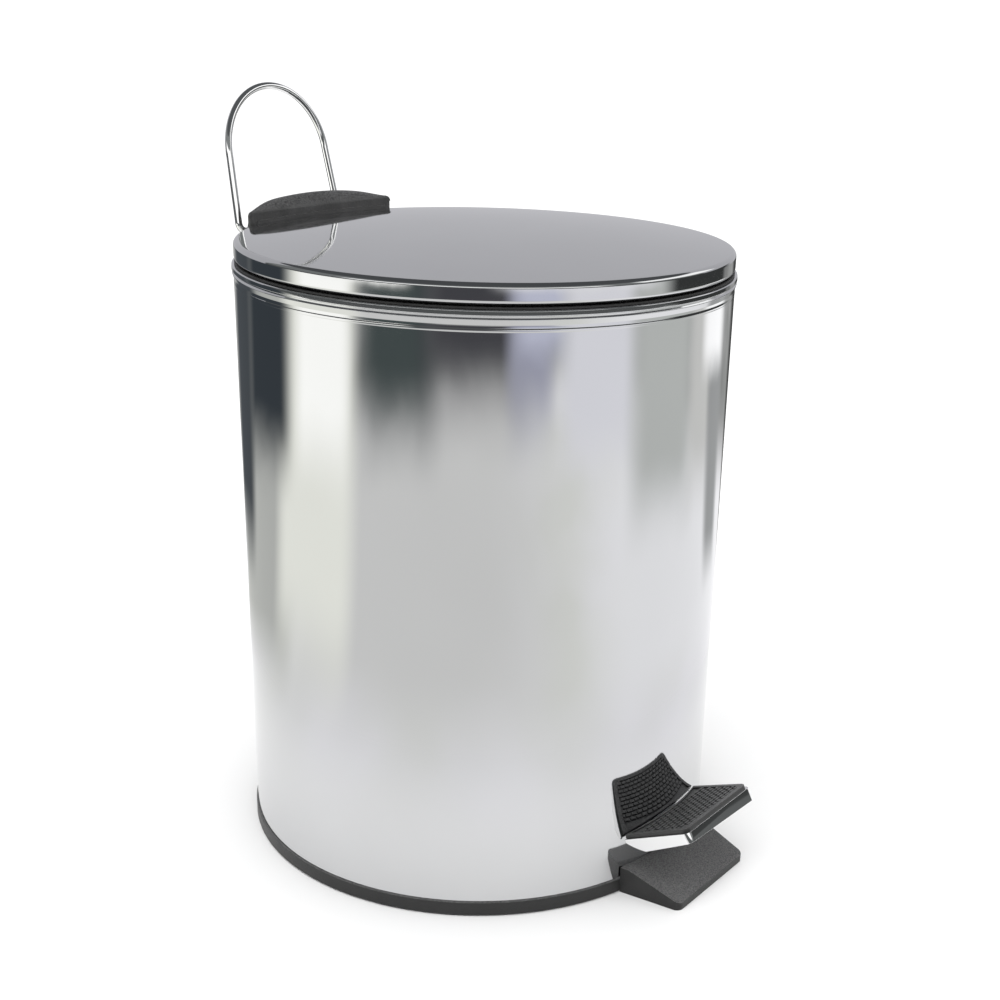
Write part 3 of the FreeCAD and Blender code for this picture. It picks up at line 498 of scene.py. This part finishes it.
def make_lid_dome():
    """Spun dome with a rolled shoulder and a skirt that curls in under itself."""
    steps = 40
    near = LID_RADIUS - 2.6 * MM
    shoulder_round, curl_round = 2.1 * MM, 1.9 * MM
    inner_curl_round, inner_shoulder_round = 1.3 * MM, 1.5 * MM
    inner_radius, inner_low = LID_RADIUS - LID_WALL, LID_LOW + LID_WALL
    top = [(near * i / steps, dome_height(near * i / steps)) for i in range(steps + 1)]
    skirt = rounded([top[-1], (LID_RADIUS, LID_EDGE - 0.05 * MM), (LID_RADIUS, LID_LOW),
                     (LID_CURL, LID_LOW)], [shoulder_round, curl_round], 16)[1:]
    inside = rounded([(LID_CURL, inner_low), (inner_radius, inner_low),
                      (inner_radius, LID_EDGE - LID_WALL),
                      (near - LID_WALL, dome_height(near) - LID_WALL)],
                     [inner_curl_round, inner_shoulder_round], 8)
    under = [(radius, height - LID_WALL) for radius, height in reversed(top)][1:]
    profile = top + [tuple(p) for p in skirt] + [tuple(p) for p in inside] + under
    lid = lathe("lid_dome", profile)
    return finish_piece(smooth(lid, 40), "lid", "polished_steel", "lid_shell")


COVER_FRONT = low("hinge_cover").y
COVER_RADIUS = 103.2 * MM
COVER_LOW = LID_EDGE - 2.0 * MM
COVER_CREASE = 262.0 * MM
COVER_PEAK = high("hinge_cover").z
COVER_CORNER = 1.0 * MM
COVER_END = 43.5 * MM
COVER_RIDGE = COVER_FRONT + 6 * MM
COVER_CROWN_RADIUS = 215 * MM
COVER_LEAST_CROWN = 0.3 * MM
COVER_FRONT_ROUND, COVER_BACK_ROUND, COVER_END_ROUND = 0.9 * MM, 1.8 * MM, 2.4 * MM
COVER_COLUMNS = 72
COVER_SEAT_ROWS, COVER_ROWS = 22, 27
LIP_PROUD, LIP_HIGH, LIP_STEP = 0.3 * MM, 1.4 * MM, 0.2 * MM


def edge_drop(distance, radius):
    """How far a rounded edge falls below the surface at a distance from its outline."""
    if distance >= radius:
        return 0.0
    return radius - math.sqrt(radius ** 2 - (radius - max(distance, 0)) ** 2)


def cover_top(x, y):
    """Height of the pillow-shaped top of the hinge cover, with its rounded edges."""
    crown = (COVER_PEAK - COVER_CROWN_RADIUS + math.sqrt(COVER_CROWN_RADIUS ** 2 - x ** 2)
             - COVER_CREASE)
    across_share = (y - COVER_RIDGE) / (COVER_RIDGE - COVER_FRONT)
    pillow = COVER_CREASE + max(crown, COVER_LEAST_CROWN) * max(1 - across_share ** 2, 0)
    return pillow - max(edge_drop(y - COVER_FRONT, COVER_FRONT_ROUND),
                        edge_drop(COVER_RADIUS - math.hypot(x, y), COVER_BACK_ROUND),
                        edge_drop(COVER_END - abs(x), COVER_END_ROUND))


def cover_plan(columns):
    """Front and back edge of the cover at evenly turning stations from end to end."""
    half_angle = math.acos(COVER_FRONT / COVER_RADIUS) / 2
    tip = math.sqrt(COVER_RADIUS ** 2 - COVER_FRONT ** 2)
    centre_x = tip - COVER_CORNER / math.tan(half_angle)
    centre_y = COVER_FRONT + COVER_CORNER
    end = centre_x + COVER_CORNER
    stations = []
    for index in range(columns + 1):
        x = -end * math.cos(math.pi * index / columns)
        front, back = COVER_FRONT, math.sqrt(COVER_RADIUS ** 2 - x ** 2)
        beyond = abs(x) - centre_x
        if beyond > 0:
            rise = math.sqrt(max(COVER_CORNER ** 2 - beyond ** 2, 0))
            front = centre_y - rise
            back = min(back, centre_y + rise)
        stations.append((x, front, back))
    return stations


def cover_surface(stations, height_at):
    """Rows of points across the cover: closer together near its front and the lid's rim."""
    lid_rim = LID_RADIUS + 0.05 * MM
    points = []
    for x, front, back in stations:
        rim = min(math.sqrt(max(lid_rim ** 2 - x ** 2, 0)), back)
        for row in range(COVER_ROWS + 1):
            share = (1 - math.cos(math.pi * min(row / COVER_SEAT_ROWS, 1.0))) / 2
            y = front + (rim - front) * share
            if row > COVER_SEAT_ROWS:
                y = rim + (back - rim) * (row - COVER_SEAT_ROWS) / (COVER_ROWS - COVER_SEAT_ROWS)
            points.append(Vector((x, y, height_at(x, y, row))))
    return points


def cover_underside(x, y, row):
    """The underside follows the lid, a little sunk into it, and is flat past the lid's rim."""
    radius = math.hypot(x, y)
    if row <= COVER_SEAT_ROWS and radius < LID_RADIUS - 1.5 * MM:
        return dome_height(radius) - 0.15 * MM
    return COVER_LOW


def cover_cap():
    """The cover's pillow: its top, the underside that lies on the lid, and the lipped wall."""
    stations = cover_plan(COVER_COLUMNS)
    width = COVER_ROWS + 1
    size = width * len(stations)
    points = cover_surface(stations, cover_underside)
    points += cover_surface(stations, lambda x, y, row: cover_top(x, y))
    faces = []
    for level in (0, 1):
        for column in range(COVER_COLUMNS):
            for row in range(COVER_ROWS):
                a = level * size + column * width + row
                faces.append([a, a + 1, a + 1 + width, a + width])
    loop = [column * width for column in range(COVER_COLUMNS + 1)]
    loop += [column * width + COVER_ROWS for column in range(COVER_COLUMNS - 1, 0, -1)]
    outward = []
    for index in range(len(loop)):
        along = points[loop[(index + 1) % len(loop)]] - points[loop[index - 1]]
        outward.append(Vector((along.y, -along.x, 0)).normalized())
    for point, side in zip(loop, outward):
        points[point] = points[point] + side * LIP_PROUD
    # the end stations have no depth, so their points follow the tip outward
    for tip in (0, COVER_COLUMNS * width):
        for row in range(1, width):
            points[tip + row] = points[tip]
    rings = [loop]
    for rise, back_in in ((LIP_HIGH, 0.0), (LIP_HIGH + LIP_STEP, LIP_PROUD)):
        rings.append(list(range(len(points), len(points) + len(loop))))
        points += [points[point] - side * back_in + Vector((0, 0, rise))
                   for point, side in zip(loop, outward)]
    rings.append([point + size for point in loop])
    for lower, upper in zip(rings, rings[1:]):
        for index in range(len(loop)):
            ahead = (index + 1) % len(loop)
            faces.append([lower[index], lower[ahead], upper[ahead], upper[index]])
    return tidy_normals(from_faces("cover_cap", points, faces))


EAR_INNER, EAR_OUTER = 14 * MM, 23.5 * MM
EAR_FRONT = COVER_FRONT + 5 * MM
EAR_EDGE_ROUND = 0.6 * MM
KNUCKLE_ROUND, GRIP_ROUND = 4.6 * MM, 3.6 * MM


def quarter_arc(centre, radius, start):
    """Points of a quarter circle in (y, z) that turns counterclockwise from the start angle."""
    ends = [(centre[0] + radius * math.cos(start + turn), centre[1] + radius * math.sin(start + turn))
            for turn in (0, math.pi / 4, math.pi / 2)]
    return [tuple(p) for p in arc_through(*ends, 8)]


def make_cover():
    """Moulded cover on the lid's back edge, with its two ears."""
    y, z = HINGE.y, HINGE.z
    back = COVER_RADIUS - 0.2 * MM
    outline = [(EAR_FRONT, COVER_CREASE - 2 * MM), (EAR_FRONT, LID_EDGE), (back, LID_EDGE), (back, z)]
    outline += quarter_arc((y, z), KNUCKLE_ROUND, math.pi)
    outline += quarter_arc((GRIP.y, z), GRIP_ROUND, -math.pi / 2)
    outline += [(GRIP.y + 2.2 * MM, z + 5 * MM), (COVER_RADIUS + 2 * MM, COVER_CREASE - 1 * MM)]
    to_side = Matrix(((0, 0, 1, 0), (1, 0, 0, 0), (0, 1, 0, 0), (0, 0, 0, 1)))
    parts = [cover_cap()]
    for start in (EAR_INNER, -EAR_OUTER):
        ear = prism("cover_ear", outline, EAR_OUTER - EAR_INNER,
                    Matrix.Translation((start, 0, 0)) @ to_side)
        parts.append(bevelled(ear, EAR_EDGE_ROUND, 3, 30))
    cover = joined("cover_moulding", parts)
    return finish_piece(smooth(cover, 40), "lid", "black_plastic", "hinge_cover",
                        look="grained_plastic")


def make_handle():
    """Carrying handle: one wire, feet turned in, legs tapering up to a round arch."""
    wire, bend = 1.5 * MM, 3.5 * MM
    foot, half, arch, leg = 16.5 * MM, 31 * MM, 29 * MM, 31.2 * MM
    lean = math.radians(11.5)
    steps = 64
    side = rounded([(-foot, 0), (-half, 0), (-arch, leg)], [bend], 10)
    turns = [math.pi * i / steps for i in range(1, steps)]
    turn = [Vector((-arch * math.cos(a), leg + arch * math.sin(a))) for a in turns]
    mirror = [Vector((-p.x, p.y)) for p in reversed(side)]
    path = [GRIP + Vector((p.x, p.y * math.sin(lean), p.y * math.cos(lean)))
            for p in side + turn + mirror]
    return finish_piece(tube("carry_wire", path, wire), "handle", "chrome_wire", "carry_handle")


# ---- pedal -----------------------------------------------------------------------------------------

TREAD_SLOPE = math.radians(23)
TREAD_BACK = Vector((0, -103.2 * MM, 26.7 * MM))
TREAD_FRAME = (Matrix.Translation(TREAD_BACK) @ Matrix.Rotation(math.pi, 4, "Z")
               @ Matrix.Rotation(TREAD_SLOPE, 4, "X"))
TREAD_LENGTH = 26.4 * MM
TREAD_HALF_BACK = 28.2 * MM
TREAD_HALF_FRONT = 25.8 * MM
TREAD_CORNER = 4.24 * MM
TREAD_FRONT_ROUND = 3.2 * MM
PAD_INSET = 1.0 * MM
PAD_REAR_INSET = 0.1 * MM
PAD_HEIGHT = 1.7 * MM
PAD_FLOOR = PAD_HEIGHT - 0.75 * MM
PAD_BORDER, PAD_REAR_BORDER = 2.3 * MM, 1.2 * MM
BRICK_ACROSS, BRICK_ALONG, BRICK_GAP = 3.5 * MM, 2.05 * MM, 0.55 * MM
BRICK_LEAST = 0.9 * MM
BRICK_START = 1.6 * MM


def tread_outline(inset, rear_inset):
    """The tread seen from above: curved back edge, tapered sides, rounded front corners."""
    back, front = TREAD_HALF_BACK - inset, TREAD_HALF_FRONT - inset
    far, rear = TREAD_LENGTH - inset, -TREAD_CORNER + rear_inset
    outline = [tuple(p) for p in arc_through((-back, rear), (0, rear_inset), (back, rear), 24)]
    for side in (1, -1):
        points = [(side * back, rear), (side * front, far), (0, far)]
        corner = [tuple(p) for p in rounded(points, [TREAD_FRONT_ROUND], 8)[1:-1]]
        outline += corner if side > 0 else corner[::-1]
    return outline


def pad_border():
    """The raised border of the pad, as a ring between two outlines."""
    outer = tread_outline(PAD_INSET, PAD_REAR_INSET)
    inner = tread_outline(PAD_INSET + PAD_BORDER, PAD_REAR_INSET + PAD_REAR_BORDER)
    count = len(outer)
    points = [TREAD_FRAME @ Vector((x, y, level))
              for level in (PAD_FLOOR - 0.2 * MM, PAD_HEIGHT) for x, y in outer + inner]
    faces = []
    for i in range(count):
        j = (i + 1) % count
        outer_low, outer_high = (i, j), (i + 2 * count, j + 2 * count)
        inner_low, inner_high = (i + count, j + count), (i + 3 * count, j + 3 * count)
        for first, second in ((outer_low, outer_high), (inner_low, inner_high),
                              (outer_low, inner_low), (outer_high, inner_high)):
            faces.append([first[0], first[1], second[1], second[0]])
    return tidy_normals(from_faces("pad_rim", points, faces))


def pad_bricks():
    """Rows of small blocks inside the border, every other row shifted by half a block."""
    blocks = []
    last = TREAD_LENGTH - PAD_INSET - PAD_BORDER
    rows = int((last - BRICK_START) / BRICK_ALONG)
    half_length = (BRICK_ALONG - BRICK_GAP) / 2
    place = TREAD_FRAME @ Matrix.Translation((0, 0, PAD_FLOOR - 0.15 * MM))
    for row in range(rows):
        middle = BRICK_START + (row + 0.5) * (last - BRICK_START) / rows
        share = middle / TREAD_LENGTH
        reach = (TREAD_HALF_BACK * (1 - share) + TREAD_HALF_FRONT * share
                 - PAD_INSET - PAD_BORDER - 0.4 * MM)
        shift = BRICK_ACROSS / 2 if row % 2 else 0
        columns = int(2 * reach / BRICK_ACROSS) + 1
        for column in range(-columns // 2, columns // 2 + 1):
            start = max(column * BRICK_ACROSS + shift + BRICK_GAP / 2, -reach)
            end = min((column + 1) * BRICK_ACROSS + shift - BRICK_GAP / 2, reach)
            if end - start < BRICK_LEAST:
                continue
            outline = [(start, middle - half_length), (end, middle - half_length),
                       (end, middle + half_length), (start, middle + half_length)]
            blocks.append(prism("block", outline, PAD_HEIGHT - PAD_FLOOR + 0.1 * MM, place))
    return joined("pad_blocks", blocks)


def make_pad():
    """Rubber pad: a raised border round rows of small blocks laid like bricks."""
    base = prism("pad_base", tread_outline(PAD_INSET, PAD_REAR_INSET), PAD_FLOOR, TREAD_FRAME)
    border = bevelled(pad_border(), 0.35 * MM, 3, 40)
    bricks = bevelled(pad_bricks(), 0.22 * MM, 2, 40)
    pad = joined("tread_rubber", [base, border, bricks])
    return finish_piece(smooth(pad, 40), "pedal", "soft_rubber", "tread_pad")


TREAD_FLARE = math.radians(6)
TREAD_FLARE_START = TREAD_LENGTH - 2.5 * MM
TREAD_SHORTER, TREAD_SHORTER_RIGHT = 0.2, 0.12


def make_tread():
    """Chromed tray of the pedal: rolled edges and a front flange that flares out a little."""
    tread = softened("tread_plate", "tread_tray", 0.7 * MM, 4, 40)
    to_tread = TREAD_FRAME.inverted()
    for vertex in tread.data.vertices:
        place = to_tread @ vertex.co
        forward = min(max(place.y / TREAD_LENGTH, 0.0), 1.0)
        shorter = TREAD_SHORTER + TREAD_SHORTER_RIGHT * place.x / TREAD_HALF_FRONT
        place.z *= 1 - forward ** 2 * shorter
        if place.y > TREAD_FLARE_START:
            place.y -= math.tan(TREAD_FLARE) * place.z
        vertex.co = TREAD_FRAME @ place
    return finish_piece(tread, "pedal", "chrome_plate", "tread_plate")


# ---- the rest keeps its CAD shape ------------------------------------------------------------------

# node: body, material, edge radius in millimetres
SOFT_EDGES = {
    "hinge_block": ("bin", "black_plastic", 0.5),
    "liner_bucket": ("bin", "liner_plastic", 0.3),
    "pedal_lever": ("pedal", "zinc_steel", 0.3),
    "lift_bracket": ("lid", "zinc_steel", 0.25),
}
PLAIN_NODES = {
    "zinc_steel": ["lever_axle", "axle_clips", "block_rivets", "hinge_pin", "bracket_screws",
                   "tread_rivets", "push_rod", "rod_clips"],
    "chrome_wire": ["liner_bail"],
    "soft_rubber": ["foot_pads", "lid_bumpers"],
}


def make_inner_parts():
    """Soften the moulded and pressed nodes, and give the plain ones their materials."""
    for name, (body, slot, width) in SOFT_EDGES.items():
        piece = softened(name, f"{name}_shape", width * MM, 2, 40)
        finish_piece(piece, body, slot, name)
    for slot, names in PLAIN_NODES.items():
        for name in names:
            obj = frame["nodes"][name]
            obj.data.materials.clear()
            obj.data.materials.append(MATERIALS[slot])


# ---- stage -----------------------------------------------------------------------------------------

CAMERA_PLACE = Vector((-0.4921, -0.3915, 0.3494))
CAMERA_AHEAD = Vector((0.76163, 0.53622, -0.36385))
CAMERA_UP = Vector((0.27793, 0.23693, 0.93093))
CAMERA_LENS = 54.47
CAMERA_SHIFT = (-0.0654, 0.0896)
TOWARD_CAMERA = math.atan2(CAMERA_PLACE.y, CAMERA_PLACE.x)


def make_camera():
    data = bpy.data.cameras.new("camera")
    data.sensor_width = 36
    data.lens = CAMERA_LENS
    data.shift_x, data.shift_y = CAMERA_SHIFT
    data.clip_start = 0.01
    camera = bpy.data.objects.new("camera", data)
    bpy.context.scene.collection.objects.link(camera)
    ahead = CAMERA_AHEAD.normalized()
    right = ahead.cross(CAMERA_UP).normalized()
    up = right.cross(ahead)
    turn = Matrix((right, up, -ahead)).transposed().to_4x4()
    camera.matrix_world = Matrix.Translation(CAMERA_PLACE) @ turn
    bpy.context.scene.camera = camera


def only_in_reflections(obj):
    """A card that the metal mirrors, but that casts no light or shadow and isn't seen itself."""
    obj.visible_camera = False
    obj.visible_diffuse = False
    obj.visible_shadow = False
    obj.visible_transmission = False
    obj.visible_volume_scatter = False
    return obj


def emitting(name):
    """A material with only an emission shader, and its node tree."""
    material = bpy.data.materials.new(name)
    material.use_nodes = True
    tree = material.node_tree
    tree.nodes.clear()
    return material, tree, node(tree, "ShaderNodeEmission")


def set_surface(tree, light, cover):
    """Show the light where the cover is 1, and nothing where it is 0."""
    out = node(tree, "ShaderNodeOutputMaterial")
    if cover is None:
        tree.links.new(light.outputs["Emission"], out.inputs["Surface"])
        return
    clear = node(tree, "ShaderNodeBsdfTransparent")
    mix = node(tree, "ShaderNodeMixShader")
    tree.links.new(cover, mix.inputs["Fac"])
    tree.links.new(clear.outputs["BSDF"], mix.inputs[1])
    tree.links.new(light.outputs["Emission"], mix.inputs[2])
    tree.links.new(mix.outputs["Shader"], out.inputs["Surface"])


def glow(name, colour, strength, soft=None):
    """An emitting card material. soft is the share that fades at left, right, bottom and top."""
    material, tree, light = emitting(name)
    light.inputs["Color"].default_value = (*colour, 1.0)
    light.inputs["Strength"].default_value = strength
    cover = None
    if soft:
        where = node(tree, "ShaderNodeTexCoord")
        split = node(tree, "ShaderNodeSeparateXYZ")
        tree.links.new(where.outputs["UV"], split.inputs["Vector"])
        for axis, edge, share in zip("XXYY", (0, 1, 0, 1), soft):
            fade = faded(tree, split.outputs[axis], edge, abs(edge - share))
            cover = fade if cover is None else math_node(tree, "MULTIPLY", cover, fade)
    set_surface(tree, light, cover)
    return material


def bearing_point(bearing, distance, height=0.0):
    """A place at a bearing in degrees, counted from the camera's side, negative to its left."""
    turn = TOWARD_CAMERA + math.radians(bearing)
    return (distance * math.cos(turn), distance * math.sin(turn), height)


def curved_card(name, start, end, distance, bottom, top, colour, strength, soft):
    """A card bent round the object between two bearings, as bearing_point counts them."""
    columns = 24
    points, faces, corners = [], [], []
    for i in range(columns + 1):
        bearing = start + (end - start) * i / columns
        points += [bearing_point(bearing, distance, height) for height in (bottom, top)]
    for i in range(columns):
        faces.append([2 * i, 2 * i + 2, 2 * i + 3, 2 * i + 1])
        left, right = i / columns, (i + 1) / columns
        corners += [(left, 0), (right, 0), (right, 1), (left, 1)]
    card = from_faces(name, points, faces)
    layer = card.data.uv_layers.new(name="across")
    for loop, corner in zip(layer.data, corners):
        loop.uv = corner
    card.data.materials.append(glow(name, colour, strength, soft))
    return only_in_reflections(card)


def distance_from(tree, point):
    """Distance of the shaded place from a point of the floor."""
    where = node(tree, "ShaderNodeTexCoord")
    gap = node(tree, "ShaderNodeVectorMath", operation="DISTANCE")
    gap.inputs[1].default_value = point
    tree.links.new(where.outputs["Object"], gap.inputs[0])
    return gap.outputs["Value"]


def sector(tree, bearing, half_width, softness):
    """1 inside a wedge of the floor round a bearing, 0 outside it."""
    where = node(tree, "ShaderNodeTexCoord")
    unit = node(tree, "ShaderNodeVectorMath", operation="NORMALIZE")
    tree.links.new(where.outputs["Object"], unit.inputs[0])
    along = node(tree, "ShaderNodeVectorMath", operation="DOT_PRODUCT")
    along.inputs[1].default_value = bearing_point(bearing, 1.0)
    tree.links.new(unit.outputs["Vector"], along.inputs[0])
    return faded(tree, along.outputs["Value"], math.cos(math.radians(half_width + softness)),
                 math.cos(math.radians(half_width - softness)))


TABLE_BEARING = 15
TABLE_SHIFT = 0.26
TABLE_RADIUS = 0.78
TABLE_FADE = 1.35
TABLE_REACH = 3.0
TABLE_CLEAR, TABLE_FULL = 0.13, 0.24
RIPPLE = 0.16
# patches of the floor: bearing, half width and softness in degrees, start and full distance, colour
TABLE_TONES = (
    (-30, 50, 22, 0.20, 0.34, (0.86, 0.86, 0.85)),
    (100, 45, 20, 0.20, 0.34, (1.13, 1.13, 1.15)),
)
FLOOR_WEDGES = (
    (-118, 27, 7, 0.20, 0.32, (0.63, 0.64, 0.61)),
    (-79, 21, 6, 0.20, 0.45, (1.16, 1.17, 1.08)),
    (-74, 13, 4, 0.55, 0.90, (1.50, 1.50, 1.45)),
    (-112, 17, 6, 0.52, 0.84, (0.05, 0.06, 0.07)),
    (-140, 12, 5, 0.32, 0.54, (0.08, 0.09, 0.10)),
    (-37, 15, 7, 0.62, 1.08, (0.08, 0.10, 0.10)),
    (-5, 19, 8, 0.70, 1.25, (0.08, 0.08, 0.09)),
    (19, 7, 6, 0.68, 1.10, (0.46, 0.47, 0.58)),
    (24, 9, 6, 1.05, 1.25, (0.72, 0.74, 0.90)),
    (51, 17, 6, 0.60, 0.90, (0.98, 0.98, 1.04)),
    (85, 17, 8, 0.45, 0.75, (0.66, 0.68, 0.66)),
    (112, 8, 5, 0.50, 0.80, (0.80, 0.80, 0.78)),
    (128, 7, 4, 0.34, 0.50, (0.45, 0.46, 0.46)),
    (124, 9, 5, 0.90, 1.15, (1.45, 1.45, 1.45)),
    (160, 8, 5, 0.28, 0.42, (0.06, 0.06, 0.06)),
    (-59, 25, 5, 1.48, 1.60, (1.45, 1.45, 1.40)),
    (42, 34, 10, 1.48, 1.60, (1.05, 1.05, 1.08)),
)


def square(name, reach, height):
    """A level square centred on the object."""
    return from_faces(name, [(-reach, -reach, height), (reach, -reach, height),
                             (reach, reach, height), (-reach, reach, height)], [[0, 1, 2, 3]])


def patched(tree, colour, away, patches):
    """Paint each patch over the colour, from its start distance outward."""
    for bearing, half_width, softness, start, full, patch in patches:
        share = math_node(tree, "MULTIPLY", sector(tree, bearing, half_width, softness),
                          faded(tree, away, start, full))
        colour = mixed(tree, share, colour, patch)
    return colour


def make_table_mirror():
    """What the metal mirrors of the floor: a bright table with a soft edge and a dim floor."""
    card = square("table_mirror", TABLE_REACH, 1 * MM)
    material, tree, light = emitting("table_mirror")
    cloudy = stretched_noise(tree, (2.6, 3.8, 1.0), detail=2.5, roughness=0.45)
    bright = ramp(tree, cloudy, [(0.34, (0.94, 0.95, 0.91)), (0.66, (1.10, 1.09, 1.14))])
    dim = ramp(tree, cloudy, [(0.3, (0.30, 0.31, 0.30)), (0.7, (0.50, 0.50, 0.50))])
    away = distance_from(tree, (0, 0, 0))
    ripple = math_node(tree, "MULTIPLY", cloudy, RIPPLE)
    middle = bearing_point(TABLE_BEARING, TABLE_SHIFT)
    edge = math_node(tree, "ADD", distance_from(tree, middle), ripple)
    colour = patched(tree, bright, away, TABLE_TONES)
    colour = mixed(tree, faded(tree, edge, TABLE_RADIUS, TABLE_RADIUS * TABLE_FADE), colour, dim)
    rippled = math_node(tree, "ADD", away, math_node(tree, "SUBTRACT", ripple, RIPPLE / 2))
    colour = patched(tree, colour, rippled, FLOOR_WEDGES)
    tree.links.new(colour, light.inputs["Color"])
    set_surface(tree, light, faded(tree, away, TABLE_CLEAR, TABLE_FULL))
    card.data.materials.append(material)
    only_in_reflections(card)


# name: start and end bearing, distance, bottom, top, colour, strength, soft edges
PANELS = {
    "far_wall": (112, 248, 2.9, 0, 2.4, (0.98, 0.98, 1.03), 0.55, None),
    "near_wall_low": (-112, 112, 2.9, 0, 0.62, (0.95, 1.0, 1.0), 0.12, None),
    "near_wall_high": (-112, 112, 2.9, 0.62, 2.4, (0.95, 1.0, 1.0), 0.24, None),
    "near_window": (-70, 60, 2.8, 0.62, 1.35, (1.0, 1.0, 1.0), 1.3, (0.1, 0.1, 0.1, 0.2)),
    "dim_wall_right": (78, 140, 0.86, 0.095, 0.34, (0.95, 1.0, 1.0), 0.05, (0.2, 0.2, 0.03, 0.1)),
    "window_right": (70, 130, 2.7, 0.95, 2.0, (1.0, 1.0, 1.0), 1.4, (0.1, 0.1, 0.1, 0.1)),
}
CEILING_REACH, CEILING_HEIGHT, CEILING_LEVEL = 3, 2.3, 0.10


def make_room():
    """What the polished metal mirrors: a bright table, a dim room beyond it and a few panels."""
    make_table_mirror()
    for name, settings in PANELS.items():
        curved_card(name, *settings)
    ceiling = square("ceiling", CEILING_REACH, CEILING_HEIGHT)
    ceiling.data.materials.append(glow("ceiling", (0.9, 0.95, 1.0), CEILING_LEVEL))
    only_in_reflections(ceiling)


SKY_LEVEL = 1.22
SOFTBOX_PLACE, SOFTBOX_TARGET = Vector((-0.9, -0.2, 1.8)), Vector((0, 0, 0.12))
SOFTBOX_SIZE, SOFTBOX_WATTS = (1.6, 1.2), 9
FLOOR_REACH = 30


def make_stage():
    """Plain pale floor, an even sky and one soft lamp."""
    floor = square("floor", FLOOR_REACH, 0)
    material, tree, shader = new_material("floor")
    shader.inputs["Roughness"].default_value = 0.9
    shader.inputs["Specular IOR Level"].default_value = 0.0
    mottle = stretched_noise(tree, (3, 3, 3), detail=2.0)
    tree.links.new(ramp(tree, mottle, [(0.3, grey(0.93)), (0.7, grey(0.95))]),
                   shader.inputs["Base Color"])
    floor.data.materials.append(material)
    world = bpy.data.worlds.new("world")
    bpy.context.scene.world = world
    world.use_nodes = True
    sky = world.node_tree.nodes["Background"]
    sky.inputs["Color"].default_value = (1.0, 1.0, 1.0, 1.0)
    sky.inputs["Strength"].default_value = SKY_LEVEL
    lamp = bpy.data.lights.new("softbox", "AREA")
    lamp.shape = "RECTANGLE"
    lamp.size, lamp.size_y = SOFTBOX_SIZE
    lamp.energy = SOFTBOX_WATTS
    softbox = bpy.data.objects.new("softbox", lamp)
    bpy.context.scene.collection.objects.link(softbox)
    softbox.visible_glossy = False
    softbox.location = SOFTBOX_PLACE
    facing = (SOFTBOX_TARGET - SOFTBOX_PLACE).to_track_quat("-Z", "Y")
    softbox.rotation_euler = facing.to_euler()
    bpy.context.scene.view_settings.view_transform = "Standard"


make_camera()
make_stage()
make_room()
make_bin_shell()
make_base_moulding()
make_lid_dome()
make_cover()
make_handle()
make_tread()
make_pad()
make_inner_parts()
